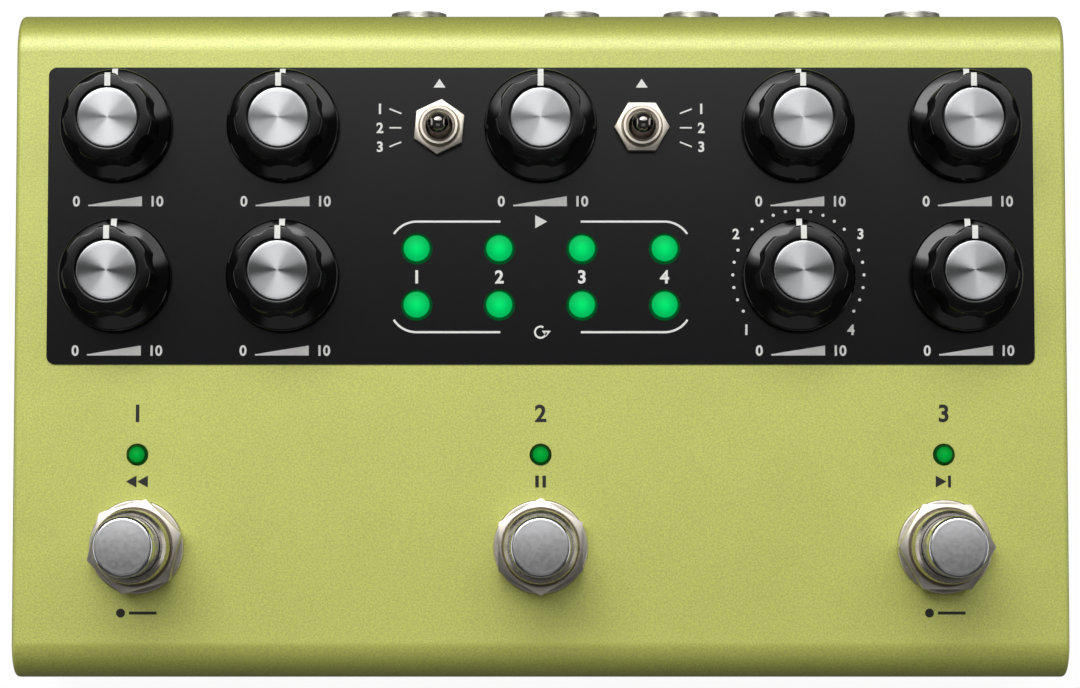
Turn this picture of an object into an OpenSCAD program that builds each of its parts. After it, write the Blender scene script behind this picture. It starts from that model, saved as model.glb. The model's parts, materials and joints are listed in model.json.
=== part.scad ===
// Delay pedal with nine rotary controls, eight lit keys, two toggles and three footswitches.
// Millimetres. +X runs to the right, +Y to the back, +Z up. The origin lies on the floor,
// under the middle of the space that the pedal takes up with its socket noses.

/* [Enclosure] */
// Width of the enclosure
body_w = 176.4; // [158:0.2:200]
// Depth of the enclosure, without the socket noses
body_d = 112; // [100:0.5:130]
// Height of the deck above the floor
deck_h = 44.5; // [43:0.5:60]
// Thickness of the formed metal
wall = 2.5; // [2:0.1:3]
// Outer radius of the bend along the front edge
front_bend = 6; // [5:0.5:12]
// Outer radius of the bend along the back edge
back_bend = 7; // [5:0.5:9]
// Rounding of the edges at both ends
end_round = 0.8; // [0.3:0.1:1.5]
// Diameter of the posts that take the plate screws
post_d = 7; // [6:0.5:8]
// Room between the plate posts and the end plates
post_room = 1; // [0.6:0.1:2]
// Distance of the front pair of plate posts from the front face
post_front_inset = 14; // [12:0.5:20]
// Distance of the back pair of plate posts from the back face
post_back_inset = 27; // [24:0.5:34]
// Extra corner radius of the end plates, which keeps them clear of the bends
end_clear = 0.3; // [0.1:0.1:1]

/* [Bottom] */
// Thickness of the bottom plate
plate_t = 1.6; // [1:0.1:2.5]
// Gap around the bottom plate
plate_gap = 0.3; // [0.1:0.05:0.6]
// Height of the rubber feet
foot_h = 3; // [2:0.25:6]
// Diameter of the rubber feet
foot_d = 12.6; // [8:0.2:16]
// Distance of the feet from the ends of the enclosure
foot_inset_x = 19; // [17:0.5:30]
// Distance of the feet from the front and back faces
foot_inset_y = 14; // [11:0.5:22]
// Diameter of the screw shanks
screw_d = 3; // [2.5:0.1:3.5]
// Diameter of the screw heads
screw_head_d = 5.6; // [5:0.1:6.4]
// Depth that the plate screws reach into their posts
screw_reach = 6; // [4:0.5:10]

/* [Overlay] */
// Bare deck between the black control overlay and either end
overlay_side = 5.5; // [3:0.1:9]
// Depth of the overlay, from its back edge to its front edge
overlay_d = 50; // [48:0.5:54]
// Distance of the overlay from the back face
overlay_inset = 9.7; // [9:0.1:12]
// Thickness of the overlay
overlay_t = 0.3; // [0.2:0.1:1]
// Corner radius of the overlay
overlay_corner = 1.4; // [0.5:0.1:4]

/* [Knobs] */
// Distance of the outer knobs from the ends of the enclosure
knob_end = 16.9; // [16:0.1:20]
// Distance from an outer knob to its inner neighbour
knob_step = 28.1; // [24:0.1:30]
// Distance of the back row of knobs from the back face
knob_back_inset = 19.6; // [19.5:0.1:22]
// Spacing of the two rows of knobs
knob_row_pitch = 25.25; // [22:0.05:28]
// Diameter of the knob's skirt
skirt_d = 18.9; // [17.5:0.1:20]
// Height of the straight edge of the skirt
skirt_edge = 0.8; // [0.6:0.1:2]
// Rounding of the skirt's upper edge
skirt_round = 0.6; // [0.3:0.1:0.8]
// Slope of the skirt's top, in degrees
skirt_slope = 20; // [10:1:30]
// Diameter across the lands where the grip meets the skirt
grip_base_d = 15.1; // [14:0.1:16]
// Diameter across the lands at the top of the grip
grip_top_d = 14.8; // [13.8:0.1:15.6]
// Height of the knob above the overlay
knob_h = 12; // [11:0.5:20]
// Rounding of the grip's top edge
grip_round = 1; // [0.5:0.1:1.6]
// Number of flutes round the grip
flutes = 7; // [5:1:12]
// Radius of each flute
flute_r = 4.5; // [3:0.25:10]
// Depth of each flute where the grip meets the skirt
flute_depth = 0.6; // [0.4:0.05:1]
// Depth of each flute at the top of the grip
flute_top_depth = 0.5; // [0.2:0.05:0.8]
// Gap between the knob and the overlay
knob_gap = 0.8; // [0.4:0.1:1.5]
// Diameter of the metal inlay
inlay_d = 9.8; // [8:0.1:11]
// Thickness of the metal inlay
inlay_t = 0.8; // [0.4:0.1:1.5]
// Gap between the inlay and the knob
inlay_gap = 0.2; // [0.1:0.05:0.3]
// Diameter of the potentiometer shafts
shaft_d = 6; // [4:0.1:6.4]
// Height of the potentiometer shaft above the overlay
shaft_h = 9; // [7:0.5:9.5]
// Depth of the flat on the shaft
shaft_flat = 1.5; // [0.5:0.1:2]
// Diameter of the potentiometer bush
pot_bush_d = 7.2; // [6.8:0.1:8.5]
// Side of the potentiometer body
pot_side = 9.8; // [9:0.1:11]
// Height of the potentiometer body
pot_h = 6.8; // [5:0.1:9]

/* [Keys] */
// Spacing of the keys along the overlay
key_pitch_x = 13.84; // [12:0.02:14]
// Spacing of the two rows of keys
key_pitch_y = 9.45; // [8:0.05:11]
// Distance of the back row of keys from the back face
key_back_inset = 40.3; // [38:0.1:42]
// Diameter of a key
key_d = 4.7; // [4:0.1:5.4]
// Height of a key above the overlay
key_h = 1.1; // [0.9:0.1:2]
// Height of the domed part of a key
key_dome = 0.45; // [0.2:0.05:0.7]
// Travel of a key
key_travel = 0.8; // [0.3:0.1:1.2]
// Diameter of the flange that keeps a key in place
key_flange_d = 6.6; // [6.2:0.1:8]
// Side of the key switch housing
key_switch_side = 6; // [5:0.1:7]
// Height of the key switch housing
key_switch_h = 4; // [3:0.1:6]

/* [Toggles] */
// Distance of the toggles from the middle
toggle_x = 17; // [16:0.1:24]
// Distance of the toggles in front of the back row of knobs
toggle_ahead = 0.3; // [0:0.1:2]
// Outer diameter of the toggle bush
toggle_bush_d = 6.3; // [5.8:0.1:6.8]
// Height of the toggle bush above the overlay
toggle_bush_h = 4; // [3:0.1:6]
// Width across the flats of the toggle nut
toggle_nut_af = 8; // [7.8:0.1:10]
// Thickness of the toggle nut
toggle_nut_t = 2; // [1.2:0.1:2.6]
// Diameter of the bore in the bush
toggle_bore_d = 4.6; // [4.4:0.1:5]
// Diameter of the ball at the lever's tip
toggle_ball_d = 3.6; // [3:0.1:4.2]
// Height of the ball's middle above the overlay
toggle_ball_h = 7.8; // [7:0.1:12]
// Height of the lever's pivot above the overlay
toggle_pivot_h = 0.8; // [0.4:0.1:1.2]
// Turns of the two toggle nuts from corner-up, in degrees
toggle_nut_turn = [-5, 30]; // [-30:1:30]

/* [Footswitches] */
// Distance of the outer footswitches from the ends of the enclosure
foot_end = 20.8; // [19:0.2:28]
// Distance of the footswitches from the front face
foot_front = 21.8; // [20:0.2:24]
// Distance from the footswitches back to the status lamps
lamp_ahead = 15.4; // [13:0.2:17]
// Diameter of the status lamps
lamp_d = 3.3; // [2.8:0.1:5]
// Diameter of the footswitch button
stomp_d = 10; // [9:0.1:10.4]
// Height of the footswitch button above the deck
stomp_h = 19.4; // [16:0.2:24]
// Rounding of the button's top edge
stomp_round = 0.7; // [0.3:0.1:1.5]
// Travel of the footswitch button
stomp_travel = 2.5; // [1:0.1:4]
// Outer diameter of the footswitch bush
stomp_bush_d = 12; // [11.6:0.1:12.6]
// Height of the footswitch bush above the deck
stomp_bush_h = 10.4; // [7:0.2:12]
// Width across the flats of the footswitch nut
stomp_nut_af = 14; // [13.8:0.1:16]
// Thickness of the footswitch nut
stomp_nut_t = 3.6; // [2:0.1:5]
// Diameter of the washer under the nut
stomp_washer_d = 15.8; // [15:0.1:18]
// Thickness of the washer
stomp_washer_t = 1; // [0.5:0.1:1.6]
// Turns of the three nuts from corner-up, in degrees
stomp_nut_turn = [-14, 0, 30]; // [-30:1:30]
// Side of the footswitch body
stomp_side = 14; // [13:0.2:15]
// Thickness of the floor of the footswitch body
stomp_floor = 2; // [1:0.1:4]

/* [Board] */
// Space between the deck's underside and the board
board_space = 12; // [11.5:0.25:14]
// Thickness of the board
board_t = 1.6; // [1.2:0.1:2.4]
// Gap between the board and the enclosure
board_gap = 0.5; // [0.3:0.1:1]
// Diameter of the pillars that carry the board
pillar_d = 6; // [5:0.2:6.6]
// Room between the back pillars' screw heads and the audio sockets
pillar_room = 1.2; // [0.6:0.1:2]

/* [Sockets] */
// Height of the socket noses behind the back face
jack_stand = 3; // [2.6:0.1:5]
// Outer diameter of the audio socket nose
jack_nose_d = 9.6; // [9:0.1:10.4]
// Bore of the audio sockets
jack_bore_d = 6.5; // [6.4:0.05:6.7]
// Depth of the bore of the audio sockets
jack_bore_l = 32; // [28:0.5:33]
// Width across the flats of the socket nuts
jack_nut_af = 12; // [11.4:0.1:14]
// Thickness of the socket nuts
jack_nut_t = 1.5; // [1:0.1:2]
// Width, depth and height of an audio socket body
jack_body = [16, 29, 14.4]; // [10:0.2:34]
// Places of the five audio sockets, as shares of the back wall right of the control sockets
jack_share = [0.09, 0.318, 0.4957, 0.6616, 0.8257]; // [0:0.0001:1]
// Width, depth and height of a round control socket
din_body = [17.4, 14, 18]; // [10:0.2:20]
// Diameter of the round control socket's face
din_d = 15; // [14:0.1:15.6]
// Width, depth and height of the data socket
usb_body = [8, 9, 4]; // [3:0.1:14]
// Width, depth and height of the power inlet
dc_body = [9, 14, 11]; // [8:0.1:18]
// Diameter of the power inlet's nose
dc_nose_d = 8.4; // [8:0.1:8.8]
// Bore of the power inlet
dc_bore_d = 5.6; // [5.5:0.1:6.4]
// Diameter of the pin in the power inlet
dc_pin_d = 2.1; // [1.3:0.1:2.5]
// Gap between neighbouring sockets
socket_gap = 0.5; // [0.3:0.1:0.8]

/* [Fits] */
// Radial clearance of a turning or sliding fit
turn_fit = 0.05; // [0.02:0.01:0.1]
// Radial clearance of the footswitch button in its bush
stomp_fit = 0.1; // [0.05:0.01:0.1]
// Radial clearance of a bush, nose or lamp in its hole
hole_fit = 0.2; // [0.1:0.05:0.3]
// Radial clearance of a key in its hole
key_fit = 0.3; // [0.25:0.05:0.4]
// Radial clearance of a nut on its thread
thread_fit = 0.06; // [0.02:0.01:0.12]

/* [Hidden] */
$fn = 64;
// Extra length of a cutting shape past the face that it cuts
cut = 1;
// Places in the depth
back_y = (body_d - jack_stand) / 2;
front_y = back_y - body_d;
inner_back_y = back_y - wall;
knob_y = [back_y - knob_back_inset, back_y - knob_back_inset - knob_row_pitch];
key_y = [back_y - key_back_inset, back_y - key_back_inset - key_pitch_y];
stomp_y = front_y + foot_front;
lamp_y = stomp_y + lamp_ahead;
overlay_back_y = back_y - overlay_inset;
// Heights
plate_z = foot_h;
plate_top_z = foot_h + plate_t;
under_z = deck_h - wall;
panel_z = deck_h + overlay_t;
board_top_z = under_z - board_space;
board_z = board_top_z - board_t;
jack_z = board_z - jack_body[2] / 2;
knob_z = panel_z + knob_gap;
skirt_run = skirt_d / 2 - skirt_round + skirt_round * sin(skirt_slope) - grip_base_d / 2;
skirt_h = skirt_edge + skirt_round * cos(skirt_slope) + skirt_run * tan(skirt_slope);
skirt_z = knob_z + skirt_h;
knob_top_z = panel_z + knob_h;
// Places across the width
inner_w = body_w - 2 * wall;
overlay_w = body_w - 2 * overlay_side;
knob_outer_x = body_w / 2 - knob_end;
knob_inner_x = knob_outer_x - knob_step;
foot_x = body_w / 2 - foot_end;
post_x = inner_w / 2 - post_d / 2 - post_room;
post_xy = [
    for (s = [-1, 1]) [s * post_x, front_y + post_front_inset],
    for (s = [-1, 1]) [s * post_x, back_y - post_back_inset]
];
pillar_back_y = inner_back_y - jack_body[1] - screw_head_d / 2 - pillar_room;
pillar_xy = [
    for (s = [-1, 1]) [s * (knob_inner_x + knob_outer_x) / 2, pillar_back_y],
    for (s = [-1, 1]) [s * foot_x / 2, (overlay_back_y - overlay_d + lamp_y) / 2],
    for (s = [-1, 1]) [s * foot_x / 2, front_y + post_front_inset]
];
feet_xy = [
    for (sx = [-1, 1]) [sx * (body_w / 2 - foot_inset_x), front_y + foot_inset_y],
    for (sx = [-1, 1]) [sx * (body_w / 2 - foot_inset_x), back_y - foot_inset_y]
];
knob_xy = [
    for (x = [-knob_outer_x, -knob_inner_x, 0, knob_inner_x, knob_outer_x]) [x, knob_y[0]],
    for (x = [-knob_outer_x, -knob_inner_x, knob_inner_x, knob_outer_x]) [x, knob_y[1]]
];
key_xy = [
    for (row = [0, 1]) for (i = [-1.5, -0.5, 0.5, 1.5]) [i * key_pitch_x, key_y[row]]
];
toggle_xy = [for (s = [-1, 1]) [s * toggle_x, knob_y[0] - toggle_ahead]];
stomp_xy = [for (s = [-1, 0, 1]) [s * foot_x, stomp_y]];
lamp_xy = [for (s = [-1, 0, 1]) [s * foot_x, lamp_y]];
// The left group of sockets stands side by side from the left wall
dc_x = -inner_w / 2 + socket_gap + dc_body[0] / 2;
usb_x = dc_x + dc_body[0] / 2 + socket_gap + usb_body[0] / 2;
din_first_x = usb_x + usb_body[0] / 2 + socket_gap + din_body[0] / 2;
din_x = [for (i = [0, 1]) din_first_x + i * (din_body[0] + socket_gap)];
// The audio sockets share the rest of the back wall
jack_start_x = din_x[1] + din_body[0] / 2;
jack_x = [for (share = jack_share) jack_start_x + share * (inner_w / 2 - jack_start_x)];
din_z = board_z - din_body[2] / 2;
usb_z = board_z - usb_body[2] / 2;
dc_z = board_z - dc_body[2] / 2;
// Hole sizes that several pieces share
pot_hole_d = pot_bush_d + 2 * hole_fit;
toggle_hole_d = toggle_bush_d + 2 * hole_fit;
key_hole_d = key_d + 2 * key_fit;
lamp_hole_d = lamp_d + 2 * hole_fit;
stomp_hole_d = stomp_bush_d + 2 * hole_fit;
jack_hole_d = jack_nose_d + 2 * hole_fit;
screw_core_d = screw_d - 0.4;
// Circle through the corners of a hexagon of a given width across flats
function hex_d(af) = af / cos(30);
// Node names of like pieces
rows = ["back", "front"];
knob_tags = [
    for (i = [1:5]) str("back_", i),
    for (i = [1:4]) str("front_", i)
];
key_tags = [for (row = rows) for (i = [1:4]) str(row, "_", i)];
toggle_tags = ["left", "right"];
stomp_tags = ["left", "middle", "right"];

// Copies a shape to each place of a list.
module at_each(places, z = 0) {
    for (p = places) {
        translate([p[0], p[1], z]) children();
    }
}

// Copies a shape drawn up the Z axis to points on the back wall, turned to run along +Y.
module on_back(xs, y, z) {
    for (x = xs) {
        translate([x, y, z]) rotate([-90, 0, 0]) children();
    }
}

// Rectangle on the X axis whose two far corners are rounded.
module round_top(w, h, r) {
    translate([-w / 2, 0]) square([w, h - r]);
    translate([-w / 2 + r, 0]) square([w - 2 * r, h]);
    if (r > 0) {
        for (s = [-1, 1]) {
            translate([s * (w / 2 - r), h - r]) circle(r);
        }
    }
}

// Square that trims a corner to a radius; the corner points along sx and sy.
module corner_trim(r, sx, sy) {
    difference() {
        square(2 * r, center = true);
        translate([-sx * r, -sy * r]) circle(r);
    }
}

// Rectangle with four round corners, centred.
module round_plate(w, d, r) {
    difference() {
        square([w, d], center = true);
        for (sx = [-1, 1], sy = [-1, 1]) {
            translate([sx * w / 2, sy * d / 2]) corner_trim(r, sx, sy);
        }
    }
}

// Solid form of the housing: one rounded section carried up the front, over the deck and
// down the back, round the front and the back bend.
module housing_form(w, y0, y1, z0, z1, r0, r1, edge) {
    translate([0, y1 - r1, z0]) rotate([90, 0, 0])
        linear_extrude(y1 - r1 - y0 - r0) round_top(w, z1 - z0, edge);
    translate([0, y0 + r0, z1 - r0]) rotate([180, -90, 0])
        rotate_extrude(angle = 90) rotate(-90) round_top(w, r0, edge);
    translate([0, y1 - r1, z1 - r1]) rotate([90, 0, 90])
        rotate_extrude(angle = 90) rotate(-90) round_top(w, r1, edge);
    translate([0, y0 + r0, z0]) rotate([0, 0, 180])
        linear_extrude(z1 - r0 - z0) round_top(w, r0, edge);
    translate([0, y1 - r1, z0])
        linear_extrude(z1 - r1 - z0) round_top(w, r1, edge);
}

// Hexagon nut with a round chamfer on its outer face and a plain bore.
module hex_nut(af, t, bore_d) {
    chamfer = 0.12 * af / 2;
    difference() {
        intersection() {
            cylinder(d = hex_d(af), h = t, $fn = 6);
            union() {
                cylinder(d = hex_d(af) + cut, h = t - chamfer);
                translate([0, 0, t - chamfer])
                    cylinder(d1 = hex_d(af), d2 = af * 0.96, h = chamfer);
            }
        }
        translate([0, 0, -cut]) cylinder(d = bore_d, h = t + 2 * cut);
    }
}

// Round bar with a flat along it, as on a potentiometer shaft.
module flatted_bar(d, flat, h) {
    difference() {
        cylinder(d = d, h = h);
        translate([-d, -d / 2 - cut, -cut]) cube([2 * d, flat + cut, h + 2 * cut]);
    }
}

// Formed housing, open below and at both ends, with its pillars and holes.
module enclosure() {
    color("#bcc46c") difference() {
        union() {
            difference() {
                housing_form(
                    body_w, front_y, back_y, plate_z, deck_h,
                    front_bend, back_bend, end_round
                );
                housing_form(
                    body_w + 2 * cut, front_y + wall, inner_back_y, plate_z - cut, under_z,
                    front_bend - wall, back_bend - wall, 0
                );
            }
            at_each(pillar_xy, board_top_z) cylinder(d = pillar_d, h = board_space + wall / 2);
        }
        at_each(pillar_xy, board_top_z - cut) cylinder(d = screw_d, h = screw_reach + 2 * cut);
        at_each(knob_xy, under_z - cut) cylinder(d = pot_hole_d, h = wall + 2 * cut);
        at_each(toggle_xy, under_z - cut) cylinder(d = toggle_hole_d, h = wall + 2 * cut);
        at_each(key_xy, under_z - cut) cylinder(d = key_hole_d, h = wall + 2 * cut);
        at_each(lamp_xy, under_z - cut) cylinder(d = lamp_hole_d, h = wall + 2 * cut);
        at_each(stomp_xy, under_z - cut) cylinder(d = stomp_hole_d, h = wall + 2 * cut);
        on_back(jack_x, inner_back_y - cut, jack_z) cylinder(d = jack_hole_d, h = wall + 2 * cut);
        on_back(din_x, inner_back_y - cut, din_z) cylinder(d = din_d + 2 * hole_fit, h = wall + 2 * cut);
        on_back([dc_x], inner_back_y - cut, dc_z)
            cylinder(d = dc_nose_d + 2 * hole_fit, h = wall + 2 * cut);
        translate([usb_x, inner_back_y + wall / 2, usb_z])
            cube([usb_body[0] + 2 * hole_fit, wall + 2 * cut, usb_body[2] + 2 * hole_fit], center = true);
    }
}

// Outline of an end plate, which fills the end of the housing.
module end_outline() {
    difference() {
        translate([front_y + wall, plate_z]) square([body_d - 2 * wall, under_z - plate_z]);
        translate([front_y + wall, under_z]) corner_trim(front_bend - wall + end_clear, -1, 1);
        translate([inner_back_y, under_z]) corner_trim(back_bend - wall + end_clear, 1, 1);
    }
}

// Plates welded into both ends of the housing, each with two posts that take the plate screws.
module end_plates() {
    post_h = under_z - plate_top_z;
    web = inner_w / 2 + wall / 2 - post_x;
    color("#bcc46c") difference() {
        union() {
            for (s = [-1, 1]) {
                translate([s * (inner_w + wall) / 2, 0, 0]) rotate([90, 0, 90])
                    linear_extrude(wall, center = true) end_outline();
            }
            at_each(post_xy, plate_top_z) cylinder(d = post_d, h = post_h);
            for (p = post_xy) {
                translate([p[0] + (sign(p[0]) - 1) * web / 2, p[1] - post_d / 2, plate_top_z])
                    cube([web, post_d, post_h]);
            }
        }
        at_each(post_xy, plate_top_z - cut) cylinder(d = screw_d, h = screw_reach + 2 * cut);
    }
}

// Flat plate that closes the housing from below, against the posts.
module bottom_plate() {
    color("#8f9194") difference() {
        translate([0, (front_y + back_y) / 2, plate_z])
            linear_extrude(plate_t)
                square([inner_w - 2 * plate_gap, body_d - 2 * wall - 2 * plate_gap], center = true);
        at_each(post_xy, plate_z - cut) cylinder(d = screw_d + 2 * hole_fit, h = plate_t + 2 * cut);
        at_each(post_xy, plate_z) countersink(thread_fit);
    }
}

// Cone of a countersunk head, wide end down on the plate's outer face.
module countersink(gap) {
    head_h = (screw_head_d - screw_d) / 2;
    cylinder(d1 = screw_head_d + 2 * gap, d2 = screw_d + 2 * gap, h = head_h);
}

// Countersunk screw that holds the plate, with a hexagon socket.
module plate_screw() {
    socket_d = screw_d * 0.75;
    difference() {
        union() {
            countersink(0);
            cylinder(d = screw_core_d, h = plate_t + screw_reach);
        }
        translate([0, 0, -cut]) cylinder(d = socket_d, h = cut + 1, $fn = 6);
    }
}

// Pan-head screw that pulls the board up against a pillar.
module board_screw() {
    head_h = screw_d * 0.65;
    translate([0, 0, -head_h]) cylinder(d = screw_head_d, h = head_h);
    cylinder(d = screw_core_d, h = board_t + screw_reach);
}

// Screws of the bottom plate and of the board.
module screws() {
    color("#3a3b3d") {
        at_each(post_xy, plate_z) plate_screw();
        at_each(pillar_xy, board_z) board_screw();
    }
}

// Soft feet under the plate, each a shallow cone with a round lower edge.
module rubber_feet() {
    foot_round = foot_h / 4;
    foot_draft = foot_h / 6;
    bottom_r = foot_d / 2 - foot_draft;
    color("#1c1c1e") at_each(feet_xy) rotate_extrude() {
        polygon([
            [0, 0], [bottom_r - foot_round, 0], [bottom_r, foot_round],
            [foot_d / 2, foot_h], [0, foot_h]
        ]);
        translate([bottom_r - foot_round, foot_round]) intersection() {
            circle(foot_round);
            translate([0, -foot_round]) square(foot_round);
        }
    }
}

// Thin black sheet on the deck, pierced for the controls.
module control_overlay() {
    color("#222226") difference() {
        translate([0, overlay_back_y - overlay_d / 2, deck_h])
            linear_extrude(overlay_t) round_plate(overlay_w, overlay_d, overlay_corner);
        at_each(knob_xy, deck_h - cut) cylinder(d = pot_hole_d, h = overlay_t + 2 * cut);
        at_each(toggle_xy, deck_h - cut) cylinder(d = toggle_hole_d, h = overlay_t + 2 * cut);
        at_each(key_xy, deck_h - cut) cylinder(d = key_hole_d, h = overlay_t + 2 * cut);
    }
}

// Board below the deck, notched round the posts, with its larger chips underneath.
module main_board() {
    chips = [[0, -6, 20, 20], [34, 2, 14, 10], [-34, 2, 10, 14], [0, -34, 12, 8]];
    chip_t = 1.4;
    board_w = inner_w - 2 * board_gap;
    board_d = body_d - 2 * wall - 2 * board_gap;
    notch_d = post_d + 2 * board_gap;
    cut_h = board_t + 2 * cut;
    color("#1f5a3c") {
        difference() {
            translate([-board_w / 2, front_y + wall + board_gap, board_z])
                cube([board_w, board_d, board_t]);
            at_each(post_xy, board_z - cut) cylinder(d = notch_d, h = cut_h);
            for (p = post_xy) {
                translate([p[0] + (sign(p[0]) - 1) * notch_d / 2, p[1] - notch_d / 2, board_z - cut])
                    cube([notch_d, notch_d, cut_h]);
            }
            at_each(pillar_xy, board_z - cut) cylinder(d = screw_d + 2 * hole_fit, h = cut_h);
        }
        for (c = chips) {
            translate([c[0] - c[2] / 2, c[1] - c[3] / 2, board_z - chip_t]) cube([c[2], c[3], chip_t]);
        }
    }
}

// Potentiometer bodies on the board, each with its bush and a blind bore for the shaft.
module potentiometers() {
    floor_t = 1;
    pot_depth = pot_side * 1.16;
    color("#5e646b") at_each(knob_xy, board_top_z) difference() {
        union() {
            translate([-pot_side / 2, -pot_depth / 2, 0]) cube([pot_side, pot_depth, pot_h]);
            cylinder(d = pot_bush_d, h = deck_h - board_top_z);
        }
        translate([0, 0, floor_t]) cylinder(d = shaft_d + 2 * turn_fit, h = deck_h - board_top_z);
    }
}

// Turning shaft of one potentiometer, flatted where the knob sits on it.
module pot_shaft(i) {
    start_z = board_top_z + 1.2;
    color("#c4c6c8") translate([knob_xy[i][0], knob_xy[i][1], 0]) {
        translate([0, 0, start_z]) cylinder(d = shaft_d, h = knob_z - start_z);
        translate([0, 0, knob_z]) flatted_bar(shaft_d, shaft_flat, panel_z + shaft_h - knob_z);
    }
}

// Outline of a knob from its axis outwards: round-edged skirt, tapered grip and round top edge.
module knob_profile() {
    top_r = grip_top_d / 2;
    rim_r = skirt_d / 2 - skirt_round;
    grip_edge = [grip_base_d / 2, skirt_h];
    rim_end = [rim_r + skirt_round * sin(skirt_slope), skirt_edge + skirt_round * cos(skirt_slope)];
    polygon([
        [0, 0], [skirt_d / 2, 0], [skirt_d / 2, skirt_edge], rim_end, grip_edge,
        [top_r, knob_top_z - knob_z - grip_round],
        [top_r - grip_round, knob_top_z - knob_z], [0, knob_top_z - knob_z]
    ]);
    translate([rim_r, skirt_edge]) intersection() {
        circle(skirt_round);
        square(skirt_round);
    }
    translate([top_r - grip_round, knob_top_z - knob_z - grip_round]) intersection() {
        circle(grip_round);
        square(grip_round);
    }
}

// Fluted knob with a skirt, hollow below, with a flatted bore and a seat for the inlay.
// The flutes grow shallower towards the top of the grip and leave a land under the pointer mark.
module knob(i) {
    grip_h = knob_top_z - skirt_z;
    base_floor = grip_base_d / 2 - flute_depth;
    top_floor = grip_top_d / 2 - flute_top_depth;
    lean = atan((top_floor - base_floor) / grip_h);
    hollow_r = grip_base_d / 2 - 2;
    hollow_h = skirt_edge;
    color("#101012") translate([knob_xy[i][0], knob_xy[i][1], knob_z]) difference() {
        rotate_extrude() knob_profile();
        for (k = [0:flutes - 1]) {
            rotate([0, 0, 90 + (k + 0.5) * 360 / flutes])
                translate([base_floor + flute_r, 0, skirt_h - flute_r * sin(lean)])
                    rotate([0, lean, 0]) cylinder(r = flute_r, h = grip_h + cut);
        }
        translate([0, 0, -cut]) cylinder(r = hollow_r, h = hollow_h + cut);
        flatted_bar(shaft_d + 2 * turn_fit, shaft_flat, panel_z + shaft_h - knob_z + turn_fit);
        translate([0, 0, knob_top_z - knob_z - inlay_t])
            cylinder(d = inlay_d + 2 * inlay_gap, h = inlay_t + cut);
    }
}

// Metal disc let into the top of a knob, with a fine bevel.
module knob_inlay(i) {
    bevel = inlay_t / 6;
    color("#c9cacb") translate([knob_xy[i][0], knob_xy[i][1], knob_top_z - inlay_t]) {
        cylinder(d = inlay_d, h = inlay_t - bevel);
        translate([0, 0, inlay_t - bevel]) cylinder(d1 = inlay_d, d2 = inlay_d - 2 * bevel, h = bevel);
    }
}

// Key switch housings on the board, each with a guide for the key's stem.
module button_switches() {
    stem_d = key_d - 1.2;
    guide_h = key_switch_h - 1;
    color("#2b2c2f") at_each(key_xy, board_top_z) difference() {
        translate([-key_switch_side / 2, -key_switch_side / 2, 0])
            cube([key_switch_side, key_switch_side, key_switch_h]);
        translate([0, 0, key_switch_h - guide_h]) cylinder(d = stem_d + 2 * turn_fit, h = guide_h + cut);
    }
}

// Lit key: domed cap in its hole, a flange under the deck and a stem in the switch.
module button(i) {
    stem_d = key_d - 1.2;
    flange_t = 0.8;
    flange_drop = 0.2;
    stem_z = board_top_z + key_switch_h - key_travel;
    dome_z = panel_z + key_h - key_dome;
    dome_r = (key_d * key_d / 4 + key_dome * key_dome) / (2 * key_dome);
    color("#19c95f") translate([key_xy[i][0], key_xy[i][1], 0]) {
        translate([0, 0, stem_z]) cylinder(d = stem_d, h = under_z - stem_z);
        translate([0, 0, under_z - flange_drop - flange_t]) cylinder(d = key_flange_d, h = flange_t);
        translate([0, 0, under_z - flange_drop]) cylinder(d = key_d, h = dome_z - under_z + flange_drop);
        translate([0, 0, dome_z]) intersection() {
            translate([0, 0, key_dome - dome_r]) sphere(dome_r);
            cylinder(d = key_d, h = key_dome);
        }
    }
}

// Lamp guides from the board to the deck, with round tips.
module status_lamps() {
    tip = lamp_d / 2 * 0.75;
    tip_r = (lamp_d * lamp_d / 4 + tip * tip) / (2 * tip);
    rim_h = 0.15;
    color("#18b457") at_each(lamp_xy) {
        translate([0, 0, board_top_z]) cylinder(d = lamp_d, h = deck_h + rim_h - board_top_z);
        translate([0, 0, deck_h + rim_h]) intersection() {
            translate([0, 0, tip - tip_r]) sphere(tip_r);
            cylinder(d = lamp_d, h = tip);
        }
    }
}

// Toggle switch bodies on the board, each with a bush that is dished round the lever.
module toggle_bodies() {
    body_x = 8;
    body_y = 13;
    body_h = board_space * 0.7;
    bush_top_z = panel_z + toggle_bush_h;
    dish_h = 0.9;
    dish_d = toggle_bush_d - 0.7;
    tail = 3.2;
    bore_z = panel_z + toggle_pivot_h - tail;
    color("#cfcdc6") at_each(toggle_xy) difference() {
        union() {
            translate([-body_x / 2, -body_y / 2, board_top_z]) cube([body_x, body_y, body_h]);
            translate([0, 0, board_top_z]) cylinder(d = toggle_bush_d, h = bush_top_z - board_top_z);
        }
        translate([0, 0, bore_z]) cylinder(d = toggle_bore_d, h = bush_top_z - bore_z + cut);
        translate([0, 0, bush_top_z - dish_h])
            cylinder(d1 = toggle_bore_d, d2 = dish_d, h = dish_h + turn_fit);
    }
}

// Lever with a pivot ball in the bush, a slim shank and a ball tip.
module toggle_lever(i) {
    pivot_z = panel_z + toggle_pivot_h;
    shank_h = toggle_ball_h - toggle_pivot_h;
    tail_h = 2.6;
    color("#d6d6d8") translate([toggle_xy[i][0], toggle_xy[i][1], pivot_z]) rotate_extrude() {
        intersection() {
            union() {
                circle(toggle_bore_d / 2 - 2 * turn_fit);
                translate([0, shank_h]) circle(toggle_ball_d / 2);
            }
            translate([0, -tail_h]) square([toggle_bore_d, shank_h + tail_h + toggle_ball_d]);
        }
        polygon([
            [0, -tail_h], [0.7, -tail_h], [0.9, 0],
            [1.3, shank_h], [0, shank_h]
        ]);
    }
}

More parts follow.
